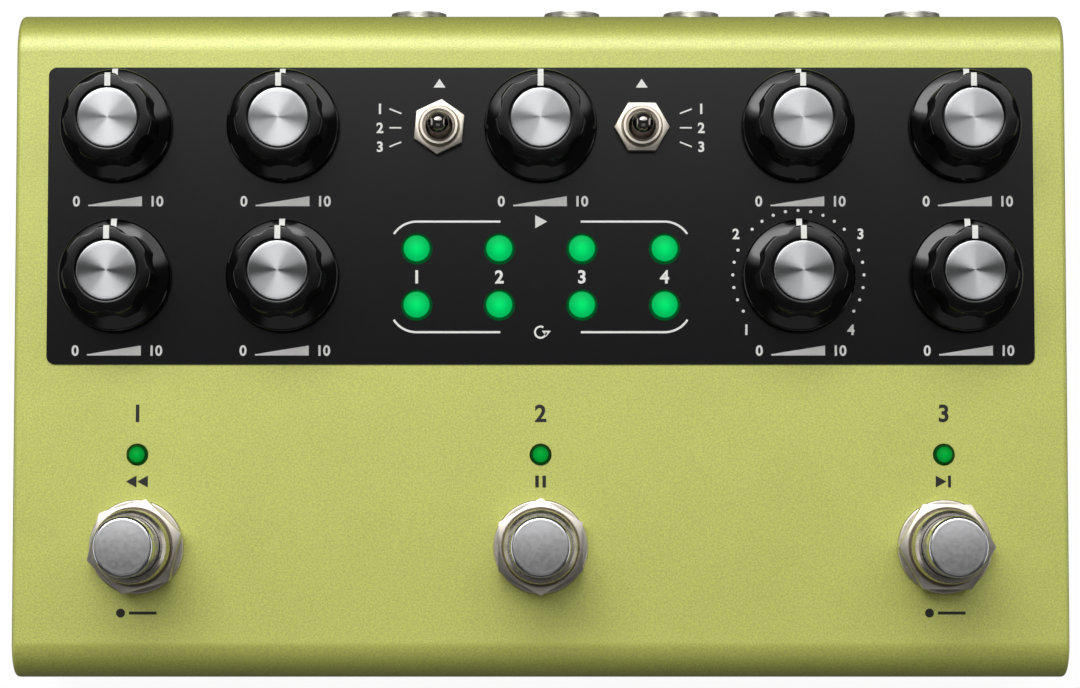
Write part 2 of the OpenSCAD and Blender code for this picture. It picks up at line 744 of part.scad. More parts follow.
// Hexagon nuts that clamp the toggles to the deck.
module toggle_nuts() {
    color("#d9d6cc") for (i = [0, 1]) {
        translate([toggle_xy[i][0], toggle_xy[i][1], panel_z]) rotate([0, 0, 90 + toggle_nut_turn[i]])
            hex_nut(toggle_nut_af, toggle_nut_t, toggle_bush_d + 2 * thread_fit);
    }
}

// Footswitch bodies between the board and the deck, with their long bushes.
module footswitch_bodies() {
    lip = 0.5;
    bush_top_z = deck_h + stomp_bush_h;
    color("#b8b6b2") at_each(stomp_xy, board_top_z) difference() {
        union() {
            translate([-stomp_side / 2, -stomp_side / 2, 0]) cube([stomp_side, stomp_side, board_space]);
            cylinder(d = stomp_bush_d, h = bush_top_z - board_top_z - lip);
            translate([0, 0, bush_top_z - board_top_z - lip])
                cylinder(d1 = stomp_bush_d, d2 = stomp_bush_d - 2 * lip, h = lip);
        }
        translate([0, 0, stomp_floor]) cylinder(d = stomp_d + 2 * stomp_fit, h = bush_top_z - board_top_z);
    }
}

// Footswitch button: a plain plunger in the bush with a flat, round-edged top.
module footswitch_button(i) {
    stop_gap = 0.5;
    start_z = board_top_z + stomp_floor + stomp_travel + stop_gap;
    top_z = deck_h + stomp_h;
    color("#c7c7c9") translate([stomp_xy[i][0], stomp_xy[i][1], 0]) rotate_extrude() {
        translate([0, start_z]) square([stomp_d / 2, top_z - stomp_round - start_z]);
        translate([0, start_z]) square([stomp_d / 2 - stomp_round, top_z - start_z]);
        translate([stomp_d / 2 - stomp_round, top_z - stomp_round]) intersection() {
            circle(stomp_round);
            square(stomp_round);
        }
    }
}

// Washers between the deck and the footswitch nuts.
module footswitch_washers() {
    bevel = 0.4 * stomp_washer_t;
    color("#cfcac2") at_each(stomp_xy, deck_h) difference() {
        union() {
            cylinder(d = stomp_washer_d, h = stomp_washer_t - bevel);
            translate([0, 0, stomp_washer_t - bevel])
                cylinder(d1 = stomp_washer_d, d2 = stomp_washer_d - 2 * bevel, h = bevel);
        }
        translate([0, 0, -cut])
            cylinder(d = stomp_bush_d + 2 * hole_fit, h = stomp_washer_t + 2 * cut);
    }
}

// Hexagon nuts that clamp the footswitches to the deck.
module footswitch_nuts() {
    color("#d8d4cc") for (i = [0:2]) {
        translate([stomp_xy[i][0], stomp_xy[i][1], deck_h + stomp_washer_t])
            rotate([0, 0, 90 + stomp_nut_turn[i]])
                hex_nut(stomp_nut_af, stomp_nut_t, stomp_bush_d + 2 * thread_fit);
    }
}

// Body of a socket behind the back wall, drawn with its mouth up the Z axis.
module socket_box(size) {
    translate([-size[0] / 2, -size[2] / 2, -size[1]]) cube([size[0], size[2], size[1]]);
}

// Audio sockets hung under the board, with noses through the back wall.
module audio_sockets() {
    nose_l = wall + jack_stand;
    color("#2a2a2c") on_back(jack_x, inner_back_y, jack_z) difference() {
        union() {
            socket_box(jack_body);
            cylinder(d = jack_nose_d, h = nose_l);
        }
        translate([0, 0, nose_l - jack_bore_l]) cylinder(d = jack_bore_d, h = jack_bore_l + cut);
    }
}

// Thin nuts on the noses of the audio sockets.
module socket_nuts() {
    color("#d5d3cd") on_back(jack_x, back_y, jack_z)
        hex_nut(jack_nut_af, jack_nut_t, jack_nose_d + 2 * thread_fit);
}

// Round five-pin control sockets, flush with the back wall.
module control_sockets() {
    pin_ring_d = din_d * 0.5;
    pin_d = 1.8;
    groove_w = 0.9;
    groove_d = 5;
    insert_d = din_d - 3.2;
    color("#1b1b1d") on_back(din_x, inner_back_y, din_z) difference() {
        union() {
            socket_box(din_body);
            cylinder(d = din_d, h = wall);
        }
        for (a = [0:45:180]) {
            rotate([0, 0, a]) translate([pin_ring_d / 2, 0, wall - groove_d])
                cylinder(d = pin_d, h = groove_d + cut, $fn = 16);
        }
        translate([0, 0, wall - groove_d]) difference() {
            cylinder(d = insert_d + 2 * groove_w, h = groove_d + cut);
            cylinder(d = insert_d, h = groove_d + cut);
        }
    }
}

// Small data socket with a rectangular mouth and a tongue.
module data_socket() {
    skin = 0.4;
    tongue_t = 0.9;
    mouth_d = 5.5;
    nose = wall - 0.6;
    color("#b4b6b8") translate([usb_x, inner_back_y, usb_z]) {
        difference() {
            translate([-usb_body[0] / 2, -usb_body[1], -usb_body[2] / 2])
                cube([usb_body[0], usb_body[1] + nose, usb_body[2]]);
            translate([-usb_body[0] / 2 + skin, nose - mouth_d, -usb_body[2] / 2 + skin])
                cube([usb_body[0] - 2 * skin, mouth_d + cut, usb_body[2] - 2 * skin]);
        }
        translate([-usb_body[0] / 2 + 3 * skin, nose - mouth_d - skin, -tongue_t / 2])
            cube([usb_body[0] - 6 * skin, mouth_d - skin, tongue_t]);
    }
}

// Power inlet with a round nose, flush with the back wall, and its centre pin.
module power_inlet() {
    bore_l = 9;
    pin_l = 8;
    color("#161618") on_back([dc_x], inner_back_y, dc_z) {
        difference() {
            union() {
                socket_box(dc_body);
                cylinder(d = dc_nose_d, h = wall);
            }
            translate([0, 0, wall - bore_l]) cylinder(d = dc_bore_d, h = bore_l + cut);
        }
        translate([0, 0, wall - bore_l - cut]) cylinder(d = dc_pin_d, h = pin_l + cut);
    }
}

enclosure();
end_plates();
bottom_plate();
rubber_feet();
screws();
control_overlay();
main_board();
potentiometers();
button_switches();
status_lamps();
toggle_bodies();
toggle_nuts();
footswitch_bodies();
footswitch_nuts();
footswitch_washers();
audio_sockets();
socket_nuts();
control_sockets();
data_socket();
power_inlet();
for (i = [0:len(knob_tags) - 1]) {
    knob(i);
    knob_inlay(i);
    pot_shaft(i);
}
for (i = [0:len(key_tags) - 1]) {
    button(i);
}
for (i = [0:len(toggle_tags) - 1]) {
    toggle_lever(i);
}
for (i = [0:len(stomp_tags) - 1]) {
    footswitch_button(i);
}
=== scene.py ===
"""Delay pedal: smooth skins, finishes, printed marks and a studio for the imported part."""

import json
import math

import bmesh
import bpy
import numpy as np
from bpy.props import FloatProperty, FloatVectorProperty, IntProperty, PointerProperty
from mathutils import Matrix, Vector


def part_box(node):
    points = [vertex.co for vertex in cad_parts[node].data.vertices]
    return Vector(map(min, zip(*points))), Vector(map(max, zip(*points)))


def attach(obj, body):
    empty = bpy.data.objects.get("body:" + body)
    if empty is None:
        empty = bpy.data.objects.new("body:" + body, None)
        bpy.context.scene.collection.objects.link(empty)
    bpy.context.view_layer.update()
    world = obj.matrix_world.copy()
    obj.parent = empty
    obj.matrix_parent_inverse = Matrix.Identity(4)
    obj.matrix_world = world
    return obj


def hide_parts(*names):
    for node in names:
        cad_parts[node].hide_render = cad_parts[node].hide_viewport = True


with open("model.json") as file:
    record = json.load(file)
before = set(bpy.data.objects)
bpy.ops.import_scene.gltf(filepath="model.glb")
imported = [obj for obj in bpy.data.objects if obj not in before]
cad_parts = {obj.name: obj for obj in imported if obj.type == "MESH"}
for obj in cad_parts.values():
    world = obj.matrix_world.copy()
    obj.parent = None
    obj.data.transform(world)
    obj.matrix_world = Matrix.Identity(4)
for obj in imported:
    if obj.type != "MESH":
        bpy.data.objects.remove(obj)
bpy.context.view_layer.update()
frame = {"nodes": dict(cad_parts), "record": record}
NODES = frame["nodes"]

bl_info = {
    "name": "Delay pedal",
    "version": (1, 0, 0),
    "blender": (4, 5, 0),
    "location": "View3D > Sidebar > Pedal",
    "description": "Builds the skins, finishes, marks and studio of a delay pedal",
    "category": "Object",
}

MM = 0.001
TAU = 2 * math.pi
NUT_FACE = 0.96  # flat face of a nut, as a share of its flats
NUT_LEAD = 0.035  # lead of a nut's bore, as a share of its flats
NUT_UNDER = 0.4  # chamfer under a nut, as a share of the one on top
KNOB_TAGS = [f"back_{i}" for i in range(1, 6)] + [f"front_{i}" for i in range(1, 5)]
KEY_TAGS = [f"{row}_{i}" for row in ("back", "front") for i in range(1, 5)]
TOGGLE_TAGS = ["left", "right"]
STOMP_TAGS = ["left", "middle", "right"]


def corners(node):
    """Lowest and highest corner of a solid at rest, as arrays in metres."""
    low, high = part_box(node)
    return np.array(low), np.array(high)


def footing(node):
    """Point under the middle of a solid, on its lowest level."""
    low, high = corners(node)
    return np.array([(low[0] + high[0]) / 2, (low[1] + high[1]) / 2, low[2]])


def girth(node):
    """Half the width and the height of a solid at rest."""
    low, high = corners(node)
    return (high[0] - low[0]) / 2, high[2] - low[2]


DECK_Z = corners("enclosure")[1][2]
PANEL_Z = corners("control_overlay")[1][2]
PANEL_BACK_Y = corners("control_overlay")[1][1]
BACK_Y = corners("socket_nuts")[0][1]
KNOB_AT = {tag: footing(f"knob_{tag}") for tag in KNOB_TAGS}
KEY_AT = {tag: footing(f"button_{tag}") for tag in KEY_TAGS}
TOGGLE_AT = {tag: footing(f"toggle_lever_{tag}") for tag in TOGGLE_TAGS}
STOMP_AT = {tag: footing(f"footswitch_button_{tag}") for tag in STOMP_TAGS}
JACK_X = [
    mount["pos_m"][0] for mount in frame["record"]["mounts"]
    if mount["name"].startswith("audio_socket_")
]


def size_property(name, description, millimetres):
    """Property for a length that is given in millimetres."""
    return FloatProperty(
        name=name, description=description, default=millimetres * MM,
        subtype="DISTANCE", unit="LENGTH",
    )


def place_property(name, description, default):
    """Property for a place in metres."""
    return FloatVectorProperty(
        name=name, description=description, default=default, subtype="TRANSLATION", unit="LENGTH"
    )


def colour_property(name, description, default):
    """Property for a colour in linear values."""
    return FloatVectorProperty(
        name=name, description=description, default=default, subtype="COLOR", min=0, max=1
    )


def light_property(name, description, default):
    """Property for a strength of light or a share of it."""
    return FloatProperty(name=name, description=description, default=default)


class PedalSizes(bpy.types.PropertyGroup):
    """Sizes of the skins and of the printed marks."""

    flutes: IntProperty(
        name="Flutes", description="Flutes round the grip of a knob", default=7, min=3, max=12
    )
    flute_depth: size_property("Flute depth", "Depth of a flute at the foot of the grip", 0.65)
    flute_end: size_property("Flute end", "Depth of a flute at the top of the grip", 0.75)
    flute_radius: size_property("Flute radius", "Radius of a flute in the grip", 4.5)
    pointer_width: size_property("Pointer width", "Width of the line on a knob", 0.95)
    thread_pitch: size_property("Thread pitch", "Pitch of the footswitch bushes", 0.75)
    ink_height: size_property("Ink height", "Height of printed marks above their face", 0.02)
    line_width: size_property("Line width", "Width of the lines round the keys", 0.36)


class PedalColours(bpy.types.PropertyGroup):
    """Colours of the finishes, as linear values."""

    shell: colour_property("Shell", "Blasted housing", (0.61, 0.65, 0.128))
    overlay: colour_property("Overlay", "Control overlay", (0.0024, 0.0024, 0.0034))
    knob: colour_property("Knob", "Knobs", (0.0015, 0.0015, 0.0018))
    pale_ink: colour_property("Pale ink", "Marks on overlay and knobs", (0.92, 0.92, 0.88))
    dark_ink: colour_property("Dark ink", "Marks on the deck", (0.012, 0.012, 0.010))
    glow: colour_property("Key light", "Lit key in its middle", (0.0, 0.76, 0.155))
    # Key and lamp edge colours are darker than their middles: partly the glow fading away from the
    # light below, partly painted shade on the rim.
    glow_edge: colour_property("Key edge", "Lit key at its edge", (0.0, 0.46, 0.098))
    lamp: colour_property("Lamp light", "Status lamp in its middle", (0.0, 0.39, 0.042))
    lamp_edge: colour_property("Lamp edge", "Status lamp at its edge", (0.0, 0.24, 0.024))
    nickel: colour_property("Nickel", "Nuts and washers", (0.86, 0.80, 0.70))
    chrome: colour_property("Chrome", "Footswitch buttons", (0.62, 0.62, 0.63))
    # The lever colour is chrome darkened as painted dark reflection, standing for the dark room
    # round the ball.
    lever: colour_property("Lever", "Toggle levers", (0.34, 0.31, 0.29))
    inlay: colour_property("Inlay", "Spun discs in the knobs", (0.53, 0.535, 0.545))


class PedalStudio(bpy.types.PropertyGroup):
    """Camera, lamp and background."""

    lens: FloatProperty(
        name="Lens", description="Focal length of the camera in millimetres", default=110.0
    )
    camera_at: place_property("Camera", "Place of the camera", (-0.0001, -0.0355, 0.5961))
    tilt: FloatProperty(
        name="Tilt", description="Angle of the view from straight down, towards the back",
        default=math.radians(3.498), subtype="ANGLE", unit="ROTATION",
    )
    lamp_at: place_property("Lamp", "Place of the lamp above the back", (-0.26, 0.748, 1.1445))
    back_lamp: FloatProperty(
        name="Back lamp", description="Power of the soft lamp above the back", default=7.0,
        unit="POWER",
    )
    roof: light_property("Roof", "Strength of the wide glow round the lamp", 1.92)
    sides: light_property("Sides", "Strength of the low light from both sides", 1.0)
    front: light_property("Front", "Strength of the dim patch in front", 0.3)
    air: light_property("Air", "Strength of the faint light from all round", 0.05)
    ground: light_property("Ground", "Share of the white ground that shows in gloss", 0.06)


def unit_rows(vectors):
    """Each row divided by its length."""
    return vectors / np.linalg.norm(vectors, axis=-1, keepdims=True)


def rounded(points, steps=6):
    """Open outline through (a, b, radius) corners: a corner with a radius becomes the arc that
    touches both its sides, with its centre on their bisector at radius / sin(half angle)."""
    at = np.array([p[:2] for p in points], float)
    runs = []
    for i, point in enumerate(points):
        radius = point[2] if len(point) > 2 else 0
        if not radius:
            runs.append(at[i : i + 1])
            continue
        before, after = unit_rows(np.array([at[i - 1] - at[i], at[i + 1] - at[i]]))
        half = math.acos(float(np.clip(before @ after, -1, 1))) / 2
        centre = at[i] + unit_rows(before + after) * radius / math.sin(half)
        reach = radius / math.tan(half)
        first, last = at[i] + before * reach - centre, at[i] + after * reach - centre
        sweep = math.pi - 2 * half
        t = np.linspace(0, 1, steps + 1)[:, None]
        arc = (np.sin((1 - t) * sweep) * first + np.sin(t * sweep) * last) / math.sin(sweep)
        runs.append(centre + arc)
    return np.concatenate(runs)


def turned(outline, centre, columns=96):
    """Surface of revolution of an outline of (radius, height) rows about the upright line
    through centre: (radius cos a, radius sin a, height)."""
    a = np.linspace(0, TAU, columns, endpoint=False)
    r, z = outline[:, 0, None], outline[:, 1, None]
    return centre + np.stack([r * np.cos(a), r * np.sin(a), z + 0 * a], -1)


def prism(outline, low, high):
    """Flat plate over a closed outline of (x, y) points, from one height to another: the rows
    run from the middle of its under side, up the edge, to the middle of its top."""
    middle = np.broadcast_to(outline.mean(0), outline.shape)
    rows = [(middle, low), (outline, low), (outline, high), (middle, high)]
    return np.stack([np.column_stack([xy, np.full(len(xy), z)]) for xy, z in rows])


def bar(path, normals, widths, up, down):
    """Flat bar along a path: at each point a rectangle of the given width, from down below the
    path to up above it along the normal, closed by a point in the middle of either end."""
    along = unit_rows(np.gradient(path, axis=0))
    side = unit_rows(np.cross(normals, along)) * np.reshape(widths, (-1, 1)) / 2
    left, right, high, low = path + side, path - side, normals * up, -normals * down
    ring = np.stack([left + high, right + high, right + low, left + low], 1)
    ends = [np.repeat(ring[i : i + 1].mean(1, keepdims=True), 4, axis=1) for i in (0, -1)]
    return np.concatenate([ends[0], ring, ends[1]])


def hexagon(flats, height, bore, turn, centre, chamfer=0.4, per_side=12):
    """Hexagon nut over (outline, angle): the edge is at flats / 2 / cos(angle from the middle of
    the side), and the chamfer drops by its share of how far the edge is outside the face. One
    corner points to the back, but for a turn in degrees."""
    a = np.linspace(0, TAU, 6 * per_side, endpoint=False)
    edge = flats / 2 / np.cos((a % (TAU / 6)) - TAU / 12)
    face = np.full_like(a, flats / 2 * NUT_FACE)
    drop = (edge - face) * chamfer
    hole = np.full_like(a, bore / 2)
    lead = NUT_LEAD * flats
    rows = [
        (hole, lead), (hole + lead, 0), (face, 0), (edge, drop * NUT_UNDER), (edge, height - drop),
        (face, height), (hole + lead, height), (hole, height - lead), (hole, lead),
    ]
    r, z = (np.stack([value + 0 * a for value in values]) for values in zip(*rows))
    a = a + math.radians(90 + turn)
    return centre + np.stack([r * np.cos(a), r * np.sin(a), z], -1)


def threaded(radius, inner, height, pitch, depth, centre, columns=72, per_turn=8, steep=1.4):
    """Sleeve over (height, angle) whose radius rises and falls as a blunt wave of
    height / pitch - angle / turn, faded out at both ends, and which closes on its inside."""
    z = np.linspace(0, height, int(height / pitch * per_turn) + 1)[:, None]
    a = np.linspace(0, TAU, columns, endpoint=False)[None, :]
    wave = np.abs(((z / pitch - a / TAU) % 1) * 2 - 1)
    fade = np.clip(np.minimum(z, height - z) / (pitch / 2), 0, 1)
    r = radius + depth * fade * np.clip((wave - 0.5) * steep + 0.5, 0, 1)
    inside = np.full_like(a, inner)
    r = np.concatenate([inside, r, inside, inside])
    z = np.concatenate([z[:1], z, z[-1:], z[:1]]) + 0 * a
    return centre + np.stack([r * np.cos(a), r * np.sin(a), z], -1)


def to_back(points, x, y, z):
    """Turns a form made up the Z axis to run out of the back wall, along +Y, at a place."""
    return np.stack([x + points[..., 0], y + points[..., 2], z - points[..., 1]], -1)


def skin_mesh(name, grids, sharp=40):
    """Mesh over one or more grids of rows x columns x 3 points whose last column meets the first.
    A row whose points all meet is one vertex. UV is (row, column) as shares of the grid."""
    points, faces, marks, start = [], [], [], 0
    for grid in grids:
        rows, columns = grid.shape[:2]
        index = start + np.arange(rows * columns).reshape(rows, columns)
        pole = np.ptp(grid, axis=1).max(-1) < 1e-9
        index[pole] = index[pole][:, :1]
        following = np.roll(index, -1, axis=1)
        quads = np.stack([index[:-1], following[:-1], following[1:], index[1:]], -1)
        u = np.broadcast_to(np.linspace(0, 1, rows)[:, None], (rows, columns))
        v = np.broadcast_to(np.arange(columns) / columns, (rows, columns))
        w = v + 1 / columns
        places = np.stack([
            np.stack([u[:-1], v[:-1]], -1), np.stack([u[:-1], w[:-1]], -1),
            np.stack([u[1:], w[1:]], -1), np.stack([u[1:], v[1:]], -1),
        ], 2)
        points.append(grid.reshape(-1, 3))
        faces.append(quads.reshape(-1, 4))
        marks.append(places.reshape(-1, 4, 2))
        start += rows * columns
    points, faces, marks = (np.concatenate(part) for part in (points, faces, marks))
    low, high = faces[:, 0] == faces[:, 1], faces[:, 2] == faces[:, 3]
    whole = ~low & ~high
    lower, upper = low & ~high, high & ~low
    loops = np.concatenate([
        faces[whole].ravel(), faces[lower][:, [0, 2, 3]].ravel(), faces[upper][:, :3].ravel()
    ])
    uv = np.concatenate([
        part.reshape(-1, 2) for part in
        (marks[whole], marks[lower][:, [0, 2, 3]], marks[upper][:, :3])
    ])
    fours, threes = int(whole.sum()), int((low ^ high).sum())
    starts = np.concatenate([np.arange(fours) * 4, 4 * fours + np.arange(threes) * 3])
    used, loops = np.unique(loops, return_inverse=True)
    mesh = bpy.data.meshes.new(name)
    mesh.vertices.add(len(used))
    mesh.vertices.foreach_set("co", points[used].astype(np.float32).ravel())
    mesh.loops.add(len(loops))
    mesh.loops.foreach_set("vertex_index", loops.astype(np.int32).ravel())
    mesh.polygons.add(len(starts))
    mesh.polygons.foreach_set("loop_start", starts.astype(np.int32))
    mesh.update(calc_edges=True)
    mesh.uv_layers.new(name="skin").data.foreach_set("uv", uv.astype(np.float32).ravel())
    mesh.polygons.foreach_set("use_smooth", np.ones(len(starts), bool))
    mesh.set_sharp_from_angle(angle=math.radians(sharp))
    if mesh.validate():
        raise RuntimeError(f"{name}: the surface has faces that meet themselves")
    return mesh


def place(mesh, finish, body, stands_for=()):
    """Puts a mesh into the scene as a piece with its finish, on a body of the part."""
    piece = bpy.data.objects.new(mesh.name, mesh)
    bpy.context.scene.collection.objects.link(piece)
    mesh.materials.clear()
    mesh.materials.append(finish)
    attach(piece, body)
    if stands_for:
        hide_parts(*stands_for)
    return piece


def skin(name, grids, finish, body, stands_for=(), sharp=40):
    """Puts a surface over grids into the scene as a piece."""
    return place(skin_mesh(name, grids, sharp), finish, body, stands_for)


def smooth_copy(node, name, finish, body, sharp=30):
    """Stands for a solid with a copy of its own faces, joined at their edges, so that its bends
    shade smoothly and its flats stay flat. The back wall and the deck have long thin faces between
    their openings, so each corner there gets the normal of the flat."""
    mesh = NODES[node].data.copy()
    mesh.name = name
    form = bmesh.new()
    form.from_mesh(mesh)
    bmesh.ops.remove_doubles(form, verts=form.verts, dist=2e-6)
    form.to_mesh(mesh)
    form.free()
    mesh.polygons.foreach_set("use_smooth", np.ones(len(mesh.polygons), bool))
    mesh.set_sharp_from_angle(angle=math.radians(sharp))
    piece = place(mesh, finish, body, [node])
    flatten = piece.modifiers.new("even_faces", "WEIGHTED_NORMAL")
    flatten.keep_sharp = True
    flatten.weight = 100
    even = piece.evaluated_get(bpy.context.evaluated_depsgraph_get())
    normals = np.empty(3 * len(mesh.loops), np.float32)
    even.data.corner_normals.foreach_get("vector", normals)
    normals = normals.reshape(-1, 3)
    centres = np.empty(3 * len(mesh.polygons), np.float32)
    corner_counts = np.empty(len(mesh.polygons), np.int32)
    mesh.polygons.foreach_get("center", centres)
    mesh.polygons.foreach_get("loop_total", corner_counts)
    for axis, level in ((1, BACK_Y), (2, DECK_Z)):
        on_flat = np.abs(centres[axis::3] - level) < 0.001 * MM
        normals[np.repeat(on_flat, corner_counts)] = np.eye(3)[axis]
    piece.modifiers.clear()
    mesh.normals_split_custom_set(normals)
    return piece


def dress(node, finish):
    """Gives a solid of the frame its finish."""
    slots = NODES[node].data.materials
    slots.clear()
    slots.append(finish)


class Shading:
    """A shader tree under construction: short ways to add nodes and to join them."""

    def __init__(self, tree):
        self.tree = tree

    def put(self, node, socket, value):
        """Sets a socket to a value, or joins it to another node's output."""
        if isinstance(socket, str):
            names = {key.lower(): key for key in node.inputs.keys()}
            socket = names[socket.lower()]
        if isinstance(value, bpy.types.NodeSocket):
            self.tree.links.new(value, node.inputs[socket])
        else:
            target = node.inputs[socket]
            size = len(target.default_value) if hasattr(target.default_value, "__len__") else 0
            target.default_value = (*value, 1.0) if size == 4 and len(value) == 3 else value

    def add(self, kind, settings=None, **sockets):
        """Adds a node with its settings and its sockets."""
        node = self.tree.nodes.new(kind)
        for key, value in (settings or {}).items():
            setattr(node, key, value)
        for socket, value in sockets.items():
            self.put(node, socket.replace("_", " "), value)
        return node

    def axis(self, vector, name):
        """One coordinate of a vector."""
        return self.add("ShaderNodeSeparateXYZ", Vector=vector).outputs[name]

    def between(self, factor, first, last, low=0.3, high=0.7):
        """A value from first to last as the factor goes from low to high."""
        node = self.add("ShaderNodeMapRange", {"interpolation_type": "SMOOTHSTEP"})
        for i, value in enumerate((factor, low, high, first, last)):
            self.put(node, i, value)
        return node.outputs[0]

    def reckon(self, operation, *values):
        """Values added, multiplied or compared."""
        node = self.add("ShaderNodeMath", {"operation": operation})
        for i, value in enumerate(values):
            self.put(node, i, value)
        return node.outputs[0]


class Finish(Shading):
    """A material under construction, with its shader and the place on the piece."""

    def __init__(self, name, **sockets):
        self.material = bpy.data.materials.new(name)
        self.material.use_nodes = True
        super().__init__(self.material.node_tree)
        self.shader = self.tree.nodes["Principled BSDF"]
        for socket, value in sockets.items():
            self.put(self.shader, socket.replace("_", " "), value)
        self.place = self.add("ShaderNodeTexCoord").outputs["Object"]

    def grain(self, size, detail=2.0, roughness=0.5, stretch=None):
        """Noise with grains of a size in metres, drawn out along an axis where stretch is given."""
        vector = self.place
        if stretch:
            vector = self.add("ShaderNodeMapping", Vector=vector, Scale=stretch).outputs[0]
        return self.add(
            "ShaderNodeTexNoise", Vector=vector, Scale=1 / size, Detail=detail, Roughness=roughness
        ).outputs["Fac"]

    def mix(self, factor, first, last):
        """Colours mixed by a factor."""
        node = self.add("ShaderNodeMix", {"data_type": "RGBA"})
        for i, value in ((0, factor), (6, first), (7, last)):
            self.put(node, i, value)
        return node.outputs[2]

    def rough(self, value):
        """Roughness of the shader."""
        self.put(self.shader, "Roughness", value)

    def skin_row(self):
        """Share of the way along the outline of a skin."""
        return self.axis(self.add("ShaderNodeUVMap", {"uv_map": "skin"}).outputs[0], "X")

    def bump(self, height, depth, strength=1.0):
        """Relief of a depth in metres on the shader."""
        node = self.add("ShaderNodeBump", Strength=strength, Distance=depth, Height=height)
        self.put(self.shader, "Normal", node.outputs[0])

    def tint(self, colour, share, grain):
        """Base colour that varies by a share either way with a grain."""
        pale = [min(1, c * (1 + share)) for c in colour]
        deep = [c * (1 - share) for c in colour]
        self.put(self.shader, "Base Color", self.mix(grain, deep, pale))


def blasted_shell(colour):
    """Clear satin coat over coloured metal: grains of a quarter of a millimetre that sparkle a
    little, on slow patches that are hardly lighter or darker."""
    f = Finish(
        "blasted_shell", Metallic=0.5, IOR=1.5, Specular_Tint=(0.35, 0.36, 0.3),
        Coat_Weight=1.0, Coat_Roughness=0.4, Coat_IOR=1.8,
    )
    fine, slow = f.grain(0.26 * MM, 3.0, 0.65), f.grain(14 * MM, 2.0)
    level = f.reckon("ADD", f.between(fine, -0.55, 0.55), f.between(slow, -0.06, 0.06))
    f.tint(colour, 0.16, f.reckon("ADD", level, 0.5))
    f.rough(f.between(f.grain(0.4 * MM), 0.54, 0.64))
    f.bump(fine, 0.012 * MM, 0.6)
    return f.material


def satin_overlay(colour):
    """Black film with a fine even texture and faint cloudiness."""
    f = Finish("satin_overlay", IOR=1.5)
    fine = f.grain(0.12 * MM, 2.0)
    f.tint(colour, 0.12, f.grain(9 * MM))
    f.rough(f.between(fine, 0.16, 0.22))
    f.bump(fine, 0.004 * MM, 0.5)
    return f.material


def printed_ink(name, colour):
    """Screen print: a matt film whose cover is a little uneven."""
    f = Finish(name, IOR=1.45)
    f.tint(colour, 0.05, f.grain(0.3 * MM))
    f.rough(f.between(f.grain(0.1 * MM), 0.42, 0.58))
    f.bump(f.grain(0.09 * MM), 0.002 * MM, 0.5)
    return f.material


def knob_plastic(colour, top):
    """Moulded black: gloss on the skirt, satin on the fluted wall and less so on the ring at the
    top. Wall and ring are told apart by how far they are below the top."""
    f = Finish("knob_plastic", IOR=1.5)
    height = f.axis(f.place, "Z")
    ring = f.between(height, 0.0, 1.0, top - 1.6 * MM, top - 0.8 * MM)
    fine = f.grain(0.1 * MM, 2.0)
    f.tint(colour, 0.2, fine)
    wall = f.between(height, 0.0, 0.18, top - 9.1 * MM, top - 8.6 * MM)
    gloss = f.reckon("ADD", f.between(f.grain(3 * MM), 0.09, 0.13), wall)
    f.rough(f.reckon("SUBTRACT", gloss, f.reckon("MULTIPLY", ring, 0.12)))
    f.bump(f.reckon("MULTIPLY", fine, ring), 0.003 * MM, 0.3)
    return f.material


def spun_inlay(colour):
    """Spun aluminium: fine rings about the middle, which draw the shine out along the radius."""
    f = Finish("spun_inlay", Metallic=1.0, Anisotropic=1.0)
    rings = f.add(
        "ShaderNodeTexNoise", {"noise_dimensions": "1D"}, W=f.skin_row(), Scale=150.0, Detail=2.0
    ).outputs["Fac"]
    f.tint(colour, 0.10, rings)
    f.rough(f.between(rings, 0.21, 0.26))
    f.bump(rings, 0.003 * MM, 0.35)
    tangent = f.add("ShaderNodeTangent", {"direction_type": "UV_MAP", "uv_map": "skin"})
    f.put(f.shader, "Tangent", tangent.outputs[0])
    return f.material


def plated(name, colour, rough, mark=0.06, size=0.6 * MM):
    """Plated metal: a bright skin with faint clouding and fine marks from handling."""
    f = Finish(name, Metallic=1.0)
    f.tint(colour, 0.05, f.grain(2.5 * MM))
    f.rough(f.between(f.grain(size, 3.0), rough, rough + mark))
    f.bump(f.grain(0.35 * MM, 2.0), 0.002 * MM, 0.3)
    return f.material


def polished_button(colour, top):
    """Chrome with a satin end: the slightly domed face is brushed grey, its rim and wall are
    bright."""
    f = Finish("polished_button", Metallic=1.0)
    flat = f.between(f.axis(f.place, "Z"), 0.0, 1.0, top - 0.24 * MM, top - 0.15 * MM)
    f.tint(colour, 0.06, f.grain(0.5 * MM, 3.0))
    bright = f.between(f.grain(0.8 * MM), 0.07, 0.11)
    f.rough(f.reckon("ADD", bright, f.reckon("MULTIPLY", flat, 0.24)))
    f.bump(f.grain(0.14 * MM), 0.003 * MM, 0.35)
    return f.material


